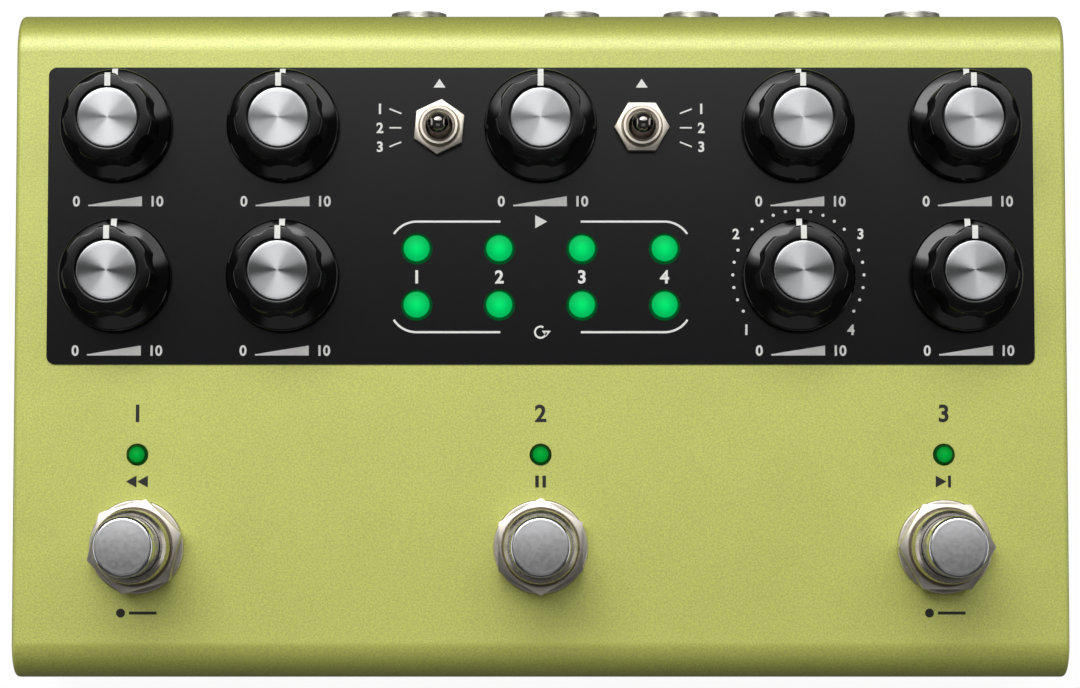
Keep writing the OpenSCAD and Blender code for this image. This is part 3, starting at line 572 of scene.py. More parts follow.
def lit_cap(name, middle, edge, unlit=0.1):
    """Clear cap lit from below: bright in the middle and deeper towards its edge, partly as the
    glow fades away from the light below and partly as painted shade on the rim. Unlit, it has a
    share of the same colours."""
    f = Finish(name, Roughness=0.42, IOR=1.49, Specular_IOR_Level=0.04)
    row = f.skin_row()
    # From the edge of the dome to its middle: the deeper edge colour is partly painted shade on the
    # rim, partly the glow fading away from the light below.
    inward_from_shaded_rim = f.between(row, 0.0, 1.0, 0.47, 1.0)
    rim = f.between(row, 0.15, 1.0, 0.43, 0.50)
    cloud = f.between(f.grain(0.5 * MM), 0.94, 1.0)
    deep, pale = ([c * unlit for c in colour] for colour in (edge, middle))
    f.put(f.shader, "Base Color", f.mix(inward_from_shaded_rim, deep, pale))
    f.put(f.shader, "Emission Color", f.mix(f.reckon("MULTIPLY", inward_from_shaded_rim, cloud), edge, middle))
    f.put(f.shader, "Emission Strength", rim)
    f.bump(f.grain(0.2 * MM), 0.004 * MM, 0.3)
    return f.material


def rubber(name, colour):
    """Moulded rubber with a dull grain."""
    f = Finish(name, IOR=1.45)
    f.tint(colour, 0.25, f.grain(0.8 * MM, 3.0))
    f.rough(f.between(f.grain(0.3 * MM), 0.68, 0.85))
    f.bump(f.grain(0.22 * MM, 2.0), 0.02 * MM, 0.6)
    return f.material


def moulded(name, colour, rough=0.4):
    """Moulded plastic with a light spark-eroded texture."""
    f = Finish(name, IOR=1.5)
    f.tint(colour, 0.15, f.grain(1.5 * MM))
    f.rough(f.between(f.grain(0.2 * MM), rough, rough + 0.12))
    f.bump(f.grain(0.16 * MM, 2.0), 0.01 * MM, 0.5)
    return f.material


def rolled_sheet(name, colour, rough=0.34):
    """Coated sheet metal: fine marks along the rolling direction under a satin skin."""
    f = Finish(name, Metallic=0.6, IOR=1.5)
    roll = f.grain(0.3 * MM, 3.0, 0.6, stretch=(0.08, 1.0, 1.0))
    f.tint(colour, 0.14, roll)
    f.rough(f.between(roll, rough, rough + 0.12))
    f.bump(roll, 0.006 * MM, 0.5)
    return f.material


def solder_mask(colour):
    """Circuit board: tracks under a green coat, as thin bands in two directions."""
    f = Finish("solder_mask", IOR=1.5)
    across, along = (
        f.add(
            "ShaderNodeTexWave", {"bands_direction": way, "wave_profile": "SIN"},
            Vector=f.place, Scale=scale, Distortion=waver, Detail=0.0,
        ).outputs["Fac"]
        for way, scale, waver in (("X", 110.0, 3.0), ("Y", 90.0, 2.0))
    )
    tracks = f.between(f.reckon("MULTIPLY", across, along), 0.0, 1.0, 0.35, 0.45)
    f.put(f.shader, "Base Color", f.mix(tracks, colour, [c * 1.9 for c in colour]))
    f.rough(f.between(f.grain(0.6 * MM), 0.28, 0.4))
    f.bump(tracks, 0.02 * MM, 0.5)
    return f.material


NUT_SHARP, THREAD_SHARP = 25, 60  # edges sharper than this many degrees stay sharp
# Knob: radius and height, or radius and depth, of its main circles
GRIP_FOOT = (7.55 * MM, 1.912 * MM)
KNOB_BORE = (3.05 * MM, 8.25 * MM)
KNOB_HOLLOW = (5.55 * MM, 0.8 * MM)
INLAY_SEAT = (5.1 * MM, 0.8 * MM)
GRIP_TOP = 7.4 * MM
GRIP_EDGE = 0.5 * MM
GRIP_CROWN = 0.07 * MM
GRIP_ROWS = np.array([0.0, 0.01, 0.025, 0.05, 0.1, 0.2, 0.35, 0.5, 0.65, 0.8, 0.9, 1.0])
LAND_BLEND = 0.06 * MM
SKIRT_RIM = (1.2205 * MM, 0.6 * MM)  # height and round of the corner at the rim
SKIRT_SLOPE = math.tan(math.radians(20))
KEY_CAP = 2.35 * MM
KEY_STEM = 1.75 * MM
KEY_DOME = 0.40 * MM
LAMP_RADIUS = 1.65 * MM
BUTTON_DOME = 0.13 * MM
WASHER = (6.2 * MM, 7.9 * MM, MM)  # inner and outer radius, height


def knob_skin(node, sizes):
    """Skin of a knob over (outline, angle). The outline runs up the bore and the hollow, round
    the skirt, up the tapered grip, over its edge and slight crown and into the seat of the inlay.
    A flute of radius f has its floor at g(height) and its axis at D = g + f, and cuts the grip
    back to D cos(b) - sqrt(f^2 - D^2 sin(b)^2), where b is the angle from the middle of the
    flute. The cone of the skirt runs on into the flutes."""
    skirt, top = girth(node)
    foot, rise = GRIP_FOOT
    bore, deep = KNOB_BORE
    hollow, roof = KNOB_HOLLOW
    seat, sunk = INLAY_SEAT
    edge_z = top - GRIP_CROWN - GRIP_EDGE
    skirt_line = rounded([
        (0, deep), (bore, deep), (bore, roof), (hollow, roof), (hollow, 0), (skirt, 0, 0.12 * MM),
        (skirt, *SKIRT_RIM), (foot + 0.3 * MM, rise - 0.11 * MM),
    ])
    t = GRIP_ROWS
    grip_line = np.column_stack([foot + (GRIP_TOP - foot) * t, rise + (edge_z - rise) * t])
    t = np.linspace(0, math.pi / 2, 12)[1:]
    edge_line = np.column_stack([
        GRIP_TOP - GRIP_EDGE + GRIP_EDGE * np.cos(t), edge_z + GRIP_EDGE * np.sin(t)
    ])
    t = np.linspace(1, 0, 8)[1:]
    inner = seat + 0.1 * MM
    crown_line = np.column_stack([
        inner + (GRIP_TOP - GRIP_EDGE - inner) * t, top - GRIP_CROWN * t**2
    ])
    seat_line = np.array([
        (seat + 0.03 * MM, top - 0.03 * MM), (seat, top - 0.1 * MM), (seat, top - sunk),
        (0, top - sunk),
    ])
    line = np.concatenate([skirt_line, grip_line, edge_line, crown_line, seat_line])
    r, z = line[:, 0, None], line[:, 1, None]
    a = np.linspace(0, TAU, 36 * sizes.flutes, endpoint=False)
    pitch = TAU / sizes.flutes
    b = a % pitch - pitch / 2
    first, last = foot - sizes.flute_depth, GRIP_TOP - sizes.flute_end
    axis = first + (last - first) * (z - rise) / (top - rise) + sizes.flute_radius
    room = sizes.flute_radius**2 - (axis * np.sin(b)) ** 2
    floor = np.where(room > 0, axis * np.cos(b) - np.sqrt(np.maximum(room, 0)), 2 * skirt)
    cut = (r - floor + np.sqrt((r - floor) ** 2 + LAND_BLEND**2)) / 2
    fluted = (z >= rise) & (r > seat + 0.2 * MM)
    r = np.where(fluted, r - cut, r)
    lift = (foot - r[len(skirt_line)]) * SKIRT_SLOPE
    z = np.where(fluted, z + lift * (top - z) / (top - rise), z)
    turn = a + math.pi / 2
    return footing(node) + np.stack([r * np.cos(turn), r * np.sin(turn), z], -1)


def pointer_bar(node, sizes):
    """White line of a knob: a thin bar along the outline over the land at the back of the grip,
    from the inlay over the edge, down the grip and out to the rim of the skirt."""
    skirt, top = girth(node)
    line = rounded([
        (5.16 * MM, top), (GRIP_TOP, top - GRIP_CROWN, GRIP_EDGE), (*GRIP_FOOT, 0.15 * MM),
        (skirt, *SKIRT_RIM), (skirt, 0.35 * MM),
    ])
    along = unit_rows(np.gradient(line, axis=0))
    out = np.column_stack([-along[:, 1], along[:, 0]])
    nothing = np.zeros(len(line))
    path = footing(node) + np.column_stack([nothing, line])
    normals = np.column_stack([nothing, out])
    return bar(path, normals, sizes.pointer_width, up=0.02 * MM, down=0.05 * MM)


def spun_disc(node):
    """Inlay of a knob, turned: a disc with a rounded edge and even rings on its face."""
    r, t = girth(node)
    flat = r - 0.3 * MM
    edge = rounded([(0, 0), (r, 0), (r, t - 0.02 * MM, 0.14 * MM), (flat, t), (0, t)])
    face = np.column_stack([np.linspace(flat, 0, 10), np.full(10, t)])
    return turned(np.concatenate([edge[:-2], face]), footing(node))


def key_cap(node):
    """Cap of a key, turned: a stem, the flange that keeps it under the deck, and a dome that
    drops with the square of the radius."""
    flange, tall = girth(node)
    under = DECK_Z - 2.5 * MM - corners(node)[0][2]
    neck, edge = under - 0.2 * MM, KEY_CAP * 0.93
    cap_line = rounded([
        (0, 0), (KEY_STEM, 0), (KEY_STEM, under - MM), (flange, under - MM), (flange, neck),
        (KEY_CAP, neck), (KEY_CAP, tall - 0.5 * MM, 0.2 * MM), (edge, tall - KEY_DOME),
    ], 4)
    t = np.linspace(1, 0, 14)
    dome_line = np.column_stack([edge * t, tall - KEY_DOME * t**2])
    return turned(np.concatenate([cap_line[:-1], dome_line]), footing(node), 64)


def lamp_guide(at, tall):
    """Light guide of a status lamp, turned: a rod of radius h whose tip of height t is part of a
    ball of radius (h^2 + t^2) / 2t."""
    half, tip = LAMP_RADIUS, LAMP_RADIUS * 0.75
    ball = (half**2 + tip**2) / (2 * tip)
    t = np.linspace(math.asin(half / ball), 0, 14)
    outline = np.concatenate([
        [(0, 0), (half, 0), (half, tall - tip - 0.4 * MM)],
        np.column_stack([ball * np.sin(t), tall - ball + ball * np.cos(t)]),
    ])
    return turned(outline, at, 64)


def lever(node):
    """Toggle lever, turned: a tail, the ball it tilts on, and a shank that widens to the round
    tip. Each ball starts or ends where its radius is that of the piece next to it."""
    pivot, ball, shank, tip = 2.6 * MM, 2.2 * MM, 9.6 * MM, 1.8 * MM
    tail, neck, throat = 0.75 * MM, 1.0 * MM, 1.28 * MM
    t = np.linspace(-math.acos(tail / ball), math.acos(neck / ball), 20)
    u = np.linspace(-math.acos(throat / tip), math.pi / 2, 24)
    outline = np.concatenate([
        [(0, 0), (0.72 * MM, 0)],
        np.column_stack([ball * np.cos(t), pivot + ball * np.sin(t)]),
        np.column_stack([tip * np.cos(u), shank + tip * np.sin(u)]),
    ])
    outline[-1, 0] = 0
    return turned(outline, footing(node), 72)


def stomp_button(node):
    """Button of a footswitch, turned: a round edge and a face that drops with the square of the
    radius."""
    r, tall = girth(node)
    dome = np.linspace(r - 0.8 * MM, 0, 12)
    edge = (dome[0], tall - BUTTON_DOME)
    outline = np.concatenate([
        rounded([(0, 0), (r, 0), (r, tall - 0.15 * MM, 0.7 * MM), edge], 10)[:-1],
        np.column_stack([dome, tall - BUTTON_DOME * (dome / dome[0]) ** 2]),
    ])
    return turned(outline, footing(node))


def switch_washer(seat):
    """Washer of a footswitch, turned, with a round outer edge."""
    inner, outer, tall = WASHER
    return turned(rounded([
        (inner, 0), (outer, 0), (outer, tall, 0.35 * MM), (inner, tall, 0.1 * MM), (inner, 0)
    ]), seat)


class PEDAL_OT_shell(bpy.types.Operator):
    """Blasted skins of the formed housing and its end plates"""

    bl_idname = "pedal.shell"
    bl_label = "Housing"

    def execute(self, context):
        finish = blasted_shell(context.scene.pedal_colours.shell)
        smooth_copy("enclosure", "housing_skin", finish, "housing")
        smooth_copy("end_plates", "end_skins", finish, "housing")
        return {"FINISHED"}


class PEDAL_OT_knobs(bpy.types.Operator):
    """Fluted knobs with their pointers and spun inlays"""

    bl_idname = "pedal.knobs"
    bl_label = "Knobs"

    def execute(self, context):
        sizes, colours = context.scene.pedal_sizes, context.scene.pedal_colours
        plastic = knob_plastic(colours.knob, corners("knob_back_1")[1][2])
        white = printed_ink("pointer_white", colours.pale_ink)
        spun = spun_inlay(colours.inlay)
        shaft = plated("shaft_metal", (0.55, 0.55, 0.54), 0.28)
        for tag in KNOB_TAGS:
            knob, disc, body = f"knob_{tag}", f"knob_inlay_{tag}", f"dial_{tag}"
            skin(f"knob_skin_{tag}", [knob_skin(knob, sizes)], plastic, body, [knob])
            skin(f"pointer_{tag}", [pointer_bar(knob, sizes)], white, body)
            skin(f"spun_disc_{tag}", [spun_disc(disc)], spun, body, [disc])
            dress(f"pot_shaft_{tag}", shaft)
        return {"FINISHED"}


class PEDAL_OT_keys(bpy.types.Operator):
    """Lit keys in two rows and the three status lamps"""

    bl_idname = "pedal.keys"
    bl_label = "Keys and lamps"

    def execute(self, context):
        colours = context.scene.pedal_colours
        glow = lit_cap("lit_key", colours.glow, colours.glow_edge)
        for tag in KEY_TAGS:
            node = f"button_{tag}"
            skin(f"key_cap_{tag}", [key_cap(node)], glow, f"key_{tag}", [node])
        lamp = lit_cap("lit_lamp", colours.lamp, colours.lamp_edge)
        _, y, z = footing("status_lamps")
        tall = girth("status_lamps")[1]
        guides = [lamp_guide(np.array([STOMP_AT[tag][0], y, z]), tall) for tag in STOMP_TAGS]
        skin("lamp_guides", guides, lamp, "housing", ["status_lamps"])
        return {"FINISHED"}


class PEDAL_OT_toggles(bpy.types.Operator):
    """Toggle levers with ball tips, their nuts and the threads of their bushes"""

    bl_idname = "pedal.toggles"
    bl_label = "Toggles"

    def execute(self, context):
        colours = context.scene.pedal_colours
        # Chrome of the levers, darkened through its colour as painted dark reflection.
        darkened_mirror = plated("toggle_chrome", colours.lever, 0.05, 0.03)
        nickel = plated("toggle_nickel", colours.nickel, 0.40, 0.08)
        nuts, threads = [], []
        for tag, turn in zip(TOGGLE_TAGS, (-5, 30)):
            node = f"toggle_lever_{tag}"
            skin(f"lever_{tag}", [lever(node)], darkened_mirror, f"toggle_{tag}", [node])
            seat = np.array([*TOGGLE_AT[tag][:2], PANEL_Z])
            nuts.append(hexagon(
                flats=8 * MM, height=2 * MM, bore=6.42 * MM, turn=turn, centre=seat
            ))
            threads.append(threaded(
                radius=3.15 * MM, inner=3.0 * MM, height=1.7 * MM, pitch=0.5 * MM, depth=0.1 * MM,
                centre=seat + [0, 0, 2.1 * MM],
            ))
        skin("toggle_nut_faces", nuts, nickel, "housing", ["toggle_nuts"], NUT_SHARP)
        skin("toggle_threads", threads, nickel, "housing", sharp=THREAD_SHARP)
        dress("toggle_bodies", nickel)
        return {"FINISHED"}


class PEDAL_OT_footswitches(bpy.types.Operator):
    """Footswitch buttons, threaded bushes, nuts and washers"""

    bl_idname = "pedal.footswitches"
    bl_label = "Footswitches"

    def execute(self, context):
        sizes, colours = context.scene.pedal_sizes, context.scene.pedal_colours
        # The footswitch nuts and washers take the toggle nickel at 0.76 of its brightness, and the
        # bushes at 0.72.
        darker_nickel = [[share * c for c in colours.nickel] for share in (0.76, 0.72)]
        nickel = plated("switch_nickel", darker_nickel[0], 0.31, 0.08)
        bush = plated("bush_nickel", darker_nickel[1], 0.26, 0.06)
        button = polished_button(colours.chrome, corners("footswitch_button_left")[1][2])
        nuts, washers, threads = [], [], []
        for tag, turn in zip(STOMP_TAGS, (-14, 0, 30)):
            node = f"footswitch_button_{tag}"
            name, body = f"switch_button_{tag}", f"stomp_{tag}"
            skin(name, [stomp_button(node)], button, body, [node])
            seat = np.array([*STOMP_AT[tag][:2], DECK_Z])
            washers.append(switch_washer(seat))
            nuts.append(hexagon(
                flats=14 * MM, height=3.6 * MM, bore=12.12 * MM, turn=turn,
                centre=seat + [0, 0, WASHER[2]],
            ))
            threads.append(threaded(
                radius=6.0 * MM, inner=5.7 * MM, height=5.2 * MM, pitch=sizes.thread_pitch,
                depth=0.14 * MM, centre=seat + [0, 0, 4.65 * MM], columns=96,
            ))
        skin("switch_washers", washers, nickel, "housing", ["footswitch_washers"])
        skin("switch_nut_faces", nuts, nickel, "housing", ["footswitch_nuts"], NUT_SHARP)
        skin("bush_threads", threads, bush, "housing", sharp=THREAD_SHARP)
        dress("footswitch_bodies", bush)
        return {"FINISHED"}


class PEDAL_OT_sockets(bpy.types.Operator):
    """Sockets of the back wall, with the threads and nuts of their noses"""

    bl_idname = "pedal.sockets"
    bl_label = "Sockets"

    def execute(self, context):
        colours = context.scene.pedal_colours
        nickel = plated("socket_nickel", colours.nickel, 0.38, 0.08)
        nose = plated("nose_nickel", (0.62, 0.61, 0.59), 0.3, 0.08)
        height = sum(corners("socket_nuts")[i][2] for i in (0, 1)) / 2
        nuts, threads = [], []
        for i, x in enumerate(JACK_X):
            nut = hexagon(flats=12 * MM, height=1.5 * MM, bore=9.72 * MM, turn=17 * i, centre=0)
            nuts.append(to_back(nut, x, BACK_Y, height))
            thread = threaded(
                radius=4.8 * MM, inner=4.6 * MM, height=1.4 * MM, pitch=0.5 * MM, depth=0.1 * MM,
                centre=0,
            )
            threads.append(to_back(thread, x, BACK_Y + 1.55 * MM, height))
        skin("socket_nut_faces", nuts, nickel, "housing", ["socket_nuts"], NUT_SHARP)
        skin("socket_threads", threads, nose, "housing", sharp=THREAD_SHARP)
        dress("audio_sockets", nose)
        dress("control_sockets", moulded("control_plastic", (0.016, 0.016, 0.018), 0.3))
        dress("power_inlet", moulded("inlet_plastic", (0.010, 0.010, 0.011), 0.38))
        dress("data_socket", plated("shield_steel", (0.56, 0.57, 0.58), 0.2))
        return {"FINISHED"}


class PEDAL_OT_base(bpy.types.Operator):
    """Bottom plate, screws and rubber feet"""

    bl_idname = "pedal.base"
    bl_label = "Underside"

    def execute(self, context):
        dress("bottom_plate", rolled_sheet("plate_metal", (0.30, 0.31, 0.12)))
        dress("screws", plated("dark_screw", (0.06, 0.06, 0.062), 0.3, 0.1))
        dress("rubber_feet", rubber("foot_rubber", (0.012, 0.012, 0.013)))
        return {"FINISHED"}


class PEDAL_OT_inside(bpy.types.Operator):
    """Board, potentiometers and switches under the deck"""

    bl_idname = "pedal.inside"
    bl_label = "Inside"

    def execute(self, context):
        dress("main_board", solder_mask((0.010, 0.075, 0.035)))
        dress("potentiometers", rolled_sheet("pot_metal", (0.22, 0.23, 0.25)))
        dress("button_switches", moulded("switch_plastic", (0.022, 0.022, 0.025)))
        return {"FINISHED"}


# Printed marks, in millimetres
INK_BED = 0.01 * MM  # how far marks reach into their face, in metres
TEXT_PER_SIZE = 1.37
TEXT_WEIGHT = 0.038
KEY_NUMERAL, SMALL_NUMERAL, DECK_NUMERAL = 2.2, 1.75, 2.9
FINE_LINE, SIGN_LINE, PAUSE_LINE = 0.25, 0.5, 0.6
KEY_BEND, SIGN_GAP, LOOP_RADIUS = 4.57, 6.74, 0.95
DOT_STEP, DOT_RING, DOT_RADIUS = 11.15, 11.0, 0.27  # the step is in degrees
WEDGE = np.array([(-4.6, -0.62), (4.4, -0.62), (4.4, 0.85)])
ARROW_UP = np.array([(-1.0, -0.7), (1.0, -0.7), (0.0, 0.8)])
FORWARD = np.array([(-0.9, -1.1), (1.1, 0.0), (-0.9, 1.1)])
LOOP_TIP = np.array([(-0.75, 0.0), (0.0, -1.0), (0.75, 0.0)])
REWIND = np.array([(0.9, -1.0), (0.9, 1.0), (-0.9, 0.0)])


class Print:
    """Printed shapes and numerals on one face, gathered for a mesh. Places, widths and sizes of
    marks are in millimetres."""

    def __init__(self, level, thickness):
        self.level, self.thickness = level, thickness
        self.grids, self.marks = [], []

    def line(self, points, width):
        """Flat bar along (x, y) points."""
        path = np.column_stack([np.array(points, float) * MM, np.full(len(points), self.level)])
        normals = np.tile([0.0, 0.0, 1.0], (len(path), 1))
        widths = np.full(len(path), width * MM)
        self.grids.append(bar(path, normals, widths, self.thickness, INK_BED))

    def spot(self, x, y, outline):
        """Plate over an outline about a point."""
        outline = (np.array([x, y]) + outline) * MM
        self.grids.append(prism(outline, self.level - INK_BED, self.level + self.thickness))

    def numeral(self, text, x, y, size):
        """Text about a point."""
        self.marks.append((text, x, y, size))

    def mesh(self, name):
        """One mesh of all that was gathered, with flat faces."""
        mesh = skin_mesh(name, self.grids, 30)
        form = numerals(self.marks, self.level - INK_BED, self.thickness + INK_BED)
        form.from_mesh(mesh)
        form.to_mesh(mesh)
        form.free()
        mesh.polygons.foreach_set("use_smooth", np.zeros(len(mesh.polygons), bool))
        return mesh


def disc_outline(radius, columns=24):
    """Points of a circle."""
    a = np.linspace(0, TAU, columns, endpoint=False)
    return radius * np.column_stack([np.cos(a), np.sin(a)])


def arc_points(x, y, radius, first, last, count=16):
    """Points of an arc about (x, y), from one angle to another in degrees."""
    a = np.radians(np.linspace(first, last, count))
    return np.column_stack([x + radius * np.cos(a), y + radius * np.sin(a)])


def numerals(marks, low, thickness):
    """Mesh of numerals: (text, x, y, size) in millimetres, each an outline filled and raised
    from a level."""
    form = bmesh.new()
    for text, x, y, size in marks:
        curve = bpy.data.curves.new("numeral", "FONT")
        curve.body, curve.align_x, curve.align_y = text, "CENTER", "CENTER"
        curve.size, curve.offset = size * TEXT_PER_SIZE * MM, TEXT_WEIGHT * size * MM
        curve.extrude, curve.resolution_u = thickness / 2, 4
        holder = bpy.data.objects.new("numeral", curve)
        bpy.context.scene.collection.objects.link(holder)
        bpy.context.view_layer.update()
        filled = holder.evaluated_get(bpy.context.evaluated_depsgraph_get())
        shape = bpy.data.meshes.new_from_object(filled)
        at = np.empty(len(shape.vertices) * 3, np.float32)
        shape.vertices.foreach_get("co", at)
        at = at.reshape(-1, 3)
        at[:, :2] += np.array([x, y]) * MM - (at[:, :2].min(0) + at[:, :2].max(0)) / 2
        at[:, 2] += low + thickness / 2
        shape.vertices.foreach_set("co", at.ravel())
        form.from_mesh(shape)
        bpy.data.meshes.remove(shape)
        bpy.data.objects.remove(holder)
        bpy.data.curves.remove(curve)
    bmesh.ops.remove_doubles(form, verts=form.verts, dist=1e-7)
    return form


def key_frame(ink, width):
    """Lines that bracket the keys: round the outer keys and along each row, with a gap in the
    middle of either side for a sign."""
    for row, up in (("back", 1), ("front", -1)):
        for tag, side in ((f"{row}_1", -1), (f"{row}_4", 1)):
            x, y = KEY_AT[tag][:2] / MM
            bend = arc_points(x, y, KEY_BEND, up * (90 - 57 * side), up * 90)
            ink.line(np.concatenate([bend, [(side * SIGN_GAP, y + up * KEY_BEND)]]), width)


def dial_dots(ink, tag):
    """Dots about a knob at even steps from the pointer, but for the places of two numerals."""
    x, y = KNOB_AT[tag][:2] / MM
    for t in np.radians(np.delete(np.arange(-11, 12) * DOT_STEP, [6, 16])):
        dot = disc_outline(DOT_RADIUS, 12)
        ink.spot(x + DOT_RING * math.sin(t), y + DOT_RING * math.cos(t), dot)


class PEDAL_OT_overlay(bpy.types.Operator):
    """Control overlay with its printed lines, dots and numerals"""

    bl_idname = "pedal.overlay"
    bl_label = "Overlay"

    def execute(self, context):
        sizes, colours = context.scene.pedal_sizes, context.scene.pedal_colours
        dress("control_overlay", satin_overlay(colours.overlay))
        ink = Print(PANEL_Z, sizes.ink_height)
        key_frame(ink, sizes.line_width / MM)
        dial_dots(ink, "front_3")
        for i in range(1, 5):
            x, y = (KEY_AT[f"back_{i}"][:2] + KEY_AT[f"front_{i}"][:2]) / 2 / MM
            ink.numeral(str(i), x, y, KEY_NUMERAL)
        back = PANEL_BACK_Y / MM
        for tag in KNOB_TAGS:
            x, y = KNOB_AT[tag][0] / MM, back - (22.6 if tag.startswith("back") else 47.7)
            ink.line([(x - 4.6, y - 0.7), (x + 4.4, y - 0.7)], FINE_LINE)
            ink.spot(x, y, WEDGE)
            ink.numeral("0", x - 6.6, y, SMALL_NUMERAL)
            ink.numeral("10", x + 7.0, y, SMALL_NUMERAL)
        x, y = KNOB_AT["front_3"][:2] / MM
        for text, t in (("1", -136), ("2", -56), ("3", 56), ("4", 136)):
            dx, dy = 12.6 * math.sin(math.radians(t)), 12.6 * math.cos(math.radians(t))
            ink.numeral(text, x + dx, y + dy, SMALL_NUMERAL)
        for tag, side in (("left", -1), ("right", 1)):
            x, y = TOGGLE_AT[tag][:2] / MM
            for text, up in (("1", 1), ("2", 0), ("3", -1)):
                ink.numeral(text, x + side * 10.0, y + 3.2 * up, SMALL_NUMERAL)
                tick = [(x + side * 6.4, y + 2.4 * up), (x + side * 8.4, y + 3.2 * up)]
                ink.line(tick, FINE_LINE)
            ink.spot(x, back - 2.7, ARROW_UP)
        ink.spot(0, KEY_AT["back_1"][1] / MM + KEY_BEND, FORWARD)
        y = KEY_AT["front_1"][1] / MM - KEY_BEND
        ink.line(arc_points(0, y, LOOP_RADIUS, 60, 360), 0.32)
        ink.spot(LOOP_RADIUS, y + 0.25, LOOP_TIP)
        finish = printed_ink("pale_ink", colours.pale_ink)
        place(ink.mesh("overlay_print"), finish, "housing")
        return {"FINISHED"}


class PEDAL_OT_deck_print(bpy.types.Operator):
    """Numerals and plain signs by the footswitches"""

    bl_idname = "pedal.deck_print"
    bl_label = "Deck print"

    def execute(self, context):
        sizes, colours = context.scene.pedal_sizes, context.scene.pedal_colours
        ink = Print(DECK_Z, sizes.ink_height)
        title, sign, hold = (PANEL_BACK_Y / MM - drop for drop in (58.2, 69.6, 91.5))
        left, middle, right = (STOMP_AT[tag][0] / MM for tag in STOMP_TAGS)
        for text, x in zip("123", (left, middle, right)):
            ink.numeral(text, x, title, DECK_NUMERAL)
        for x in (left - 1.0, left + 0.9):
            ink.spot(x, sign, REWIND)
        for x in (middle - 0.6, middle + 0.6):
            ink.line([(x, sign - 1.0), (x, sign + 1.0)], PAUSE_LINE)
        ink.spot(right - 0.5, sign, -REWIND)
        ink.line([(right + 0.9, sign - 1.0), (right + 0.9, sign + 1.0)], SIGN_LINE)
        for x in (left, right):
            ink.spot(x - 2.6, hold, disc_outline(0.75))
            ink.line([(x - 1.2, hold), (x + 3.4, hold)], SIGN_LINE)
        finish = printed_ink("dark_ink", colours.dark_ink)
        place(ink.mesh("deck_print"), finish, "housing")
        return {"FINISHED"}


LAMP_SIZE = (1.2, 0.536)
FLOOR_GREY = (0.1, 0.1, 0.1)
FLOOR_WHITE = 0.94
GLOW_MIDDLE = 0.72  # place of the wide glow, as y / z of the way up to it
GLOW_REACH = (1.1, 0.62)  # its half width and depth, as x / z and y / z


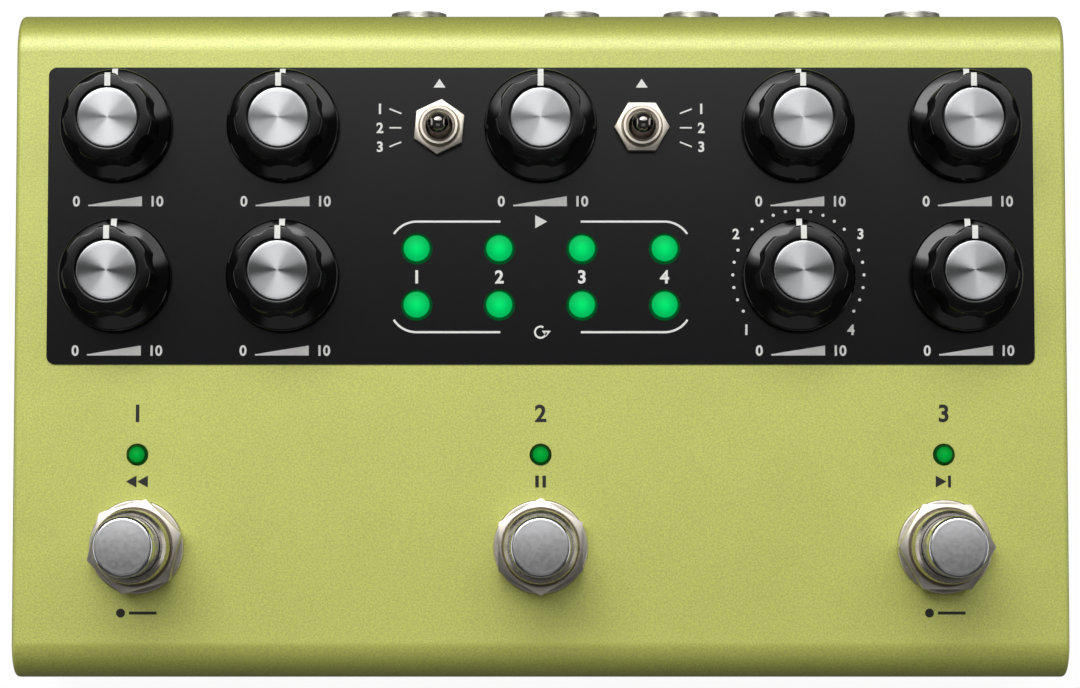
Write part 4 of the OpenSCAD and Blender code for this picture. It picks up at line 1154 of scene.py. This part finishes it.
class PEDAL_OT_studio(bpy.types.Operator):
    """Floor, background, soft lamps and the camera"""

    bl_idname = "pedal.studio"
    bl_label = "Studio"

    def execute(self, context):
        scene, studio = context.scene, context.scene.pedal_studio
        scene.view_settings.view_transform = "Standard"
        self.floor(studio)
        self.air(studio)
        self.lamp("back_lamp", studio.lamp_at, LAMP_SIZE, studio.back_lamp)
        camera = bpy.data.cameras.new("camera")
        camera.lens, camera.sensor_width = studio.lens, 36.0
        camera.clip_start, camera.clip_end = 0.01, 50.0
        holder = bpy.data.objects.new("camera", camera)
        holder.location = studio.camera_at
        holder.rotation_euler = (studio.tilt, 0.0, 0.0)
        scene.collection.objects.link(holder)
        scene.camera = holder
        return {"FINISHED"}

    def lamp(self, name, at, size, power):
        """Oval soft lamp that faces the middle of the deck."""
        light = bpy.data.lights.new(name, "AREA")
        light.shape, light.size, light.size_y, light.energy = "ELLIPSE", *size, power
        holder = bpy.data.objects.new(name, light)
        holder.location = at
        aim = np.array([0.0, 0.0, DECK_Z]) - np.array(at)
        yaw = math.atan2(aim[1], aim[0])
        holder.rotation_euler = (math.acos(-aim[2] / np.linalg.norm(aim)), 0.0, yaw - math.pi / 2)
        bpy.context.scene.collection.objects.link(holder)

    def shown(self, n, strength):
        """How much of the white ground a ray sees: all of it from the camera, a share of it by
        way of gloss or glass, and nothing of it as light."""
        path = n.add("ShaderNodeLightPath").outputs
        gloss = n.reckon("MAXIMUM", path["Is Glossy Ray"], path["Is Transmission Ray"])
        return n.reckon("MAXIMUM", path["Is Camera Ray"], n.reckon("MULTIPLY", gloss, strength))

    def floor(self, studio):
        """Pale floor that shows as white and keeps part of the shadow on it."""
        t = np.linspace(-4, 4, 9)
        x, y = np.meshgrid(t, t)
        mesh = bpy.data.meshes.new("floor")
        index = np.arange(x.size).reshape(x.shape)
        quads = np.stack([index[:-1, :-1], index[:-1, 1:], index[1:, 1:], index[1:, :-1]], -1)
        points = np.stack([x, y, 0 * x], -1).reshape(-1, 3)
        mesh.from_pydata(points.tolist(), [], quads.reshape(-1, 4).tolist())
        floor = bpy.data.objects.new("floor", mesh)
        bpy.context.scene.collection.objects.link(floor)
        material = bpy.data.materials.new("pale_floor")
        material.use_nodes = True
        n = Shading(material.node_tree)
        n.tree.nodes.remove(n.tree.nodes["Principled BSDF"])
        matt = n.add("ShaderNodeBsdfDiffuse", Color=FLOOR_GREY)
        seen = n.reckon("MULTIPLY", self.shown(n, studio.ground), FLOOR_WHITE)
        white = n.add("ShaderNodeEmission", Strength=seen)
        both = n.add("ShaderNodeAddShader")
        n.put(both, 0, matt.outputs[0])
        n.put(both, 1, white.outputs[0])
        n.put(n.tree.nodes["Material Output"], "Surface", both.outputs[0])
        mesh.materials.append(material)

    def air(self, studio):
        """Wide oval glow above the back that ends just behind the zenith, low light from both
        sides, a dim patch in front and little else. The camera sees white in its place, and so
        does some of the gloss."""
        world = bpy.data.worlds.new("studio_air")
        world.use_nodes = True
        bpy.context.scene.world = world
        n = Shading(world.node_tree)
        way = n.add("ShaderNodeTexCoord").outputs["Generated"]
        x, y, z = n.add("ShaderNodeSeparateXYZ", Vector=way).outputs
        wide, deep = n.reckon("ABSOLUTE", x), n.reckon("ABSOLUTE", y)
        rise = n.reckon("MAXIMUM", z, 0.03)
        across = n.reckon("DIVIDE", n.reckon("DIVIDE", x, rise), GLOW_REACH[0])
        along = n.reckon("SUBTRACT", n.reckon("DIVIDE", y, rise), GLOW_MIDDLE)
        along = n.reckon("DIVIDE", along, GLOW_REACH[1])
        away = n.reckon("MULTIPLY_ADD", across, across, n.reckon("MULTIPLY", along, along))
        roof = n.between(away, studio.roof, 0.0, 0.6, 1.02)
        sides = n.between(wide, 0.0, studio.sides, 0.8, 0.9)
        sides = n.reckon("MULTIPLY", sides, n.between(deep, 1.0, 0.0, 0.4, 0.65))
        front = n.between(y, studio.front, 0.0, -0.5, -0.35)
        front = n.reckon("MULTIPLY", front, n.between(y, 0.0, 1.0, -0.85, -0.7))
        front = n.reckon("MULTIPLY", front, n.between(wide, 1.0, 0.0, 0.25, 0.4))
        level = n.reckon("ADD", n.reckon("ADD", sides, front), studio.air)
        soft = n.tree.nodes["Background"]
        n.put(soft, "Color", (1, 1, 1))
        n.put(soft, "Strength", n.reckon("ADD", roof, level))
        white = n.add("ShaderNodeBackground", Color=(1, 1, 1))
        low = n.reckon("MULTIPLY", self.shown(n, studio.ground), n.between(z, 1.0, 0.0, 0.0, 0.1))
        camera = n.add("ShaderNodeLightPath").outputs["Is Camera Ray"]
        mixed = n.add("ShaderNodeMixShader", Fac=n.reckon("MAXIMUM", camera, low))
        n.put(mixed, 1, soft.outputs[0])
        n.put(mixed, 2, white.outputs[0])
        n.put(n.tree.nodes["World Output"], "Surface", mixed.outputs[0])


class PEDAL_PT_panel(bpy.types.Panel):
    """Steps of the pedal in the sidebar"""

    bl_idname = "PEDAL_PT_panel"
    bl_label = "Delay pedal"
    bl_space_type = "VIEW_3D"
    bl_region_type = "UI"
    bl_category = "Pedal"

    def draw(self, context):
        for name, _ in GROUPS:
            group = getattr(context.scene, name)
            column = self.layout.column()
            for item in group.__annotations__:
                column.prop(group, item)
        for step in STEPS:
            self.layout.operator(step.bl_idname)


STEPS = (
    PEDAL_OT_shell, PEDAL_OT_knobs, PEDAL_OT_keys, PEDAL_OT_toggles, PEDAL_OT_footswitches,
    PEDAL_OT_sockets, PEDAL_OT_base, PEDAL_OT_inside, PEDAL_OT_overlay, PEDAL_OT_deck_print,
    PEDAL_OT_studio,
)
GROUPS = (
    ("pedal_sizes", PedalSizes), ("pedal_colours", PedalColours), ("pedal_studio", PedalStudio)
)


def register():
    """Adds the groups, the steps and the panel to Blender."""
    for name, group in GROUPS:
        bpy.utils.register_class(group)
        setattr(bpy.types.Scene, name, PointerProperty(type=group))
    for item in (*STEPS, PEDAL_PT_panel):
        bpy.utils.register_class(item)


def unregister():
    """Takes them away again."""
    for item in (PEDAL_PT_panel, *reversed(STEPS)):
        bpy.utils.unregister_class(item)
    for name, group in reversed(GROUPS):
        delattr(bpy.types.Scene, name)
        bpy.utils.unregister_class(group)


def main():
    """Runs the steps in order."""
    register()
    for step in STEPS:
        family, name = step.bl_idname.split(".")
        getattr(getattr(bpy.ops, family), name)()


if __name__ == "__main__":
    main()
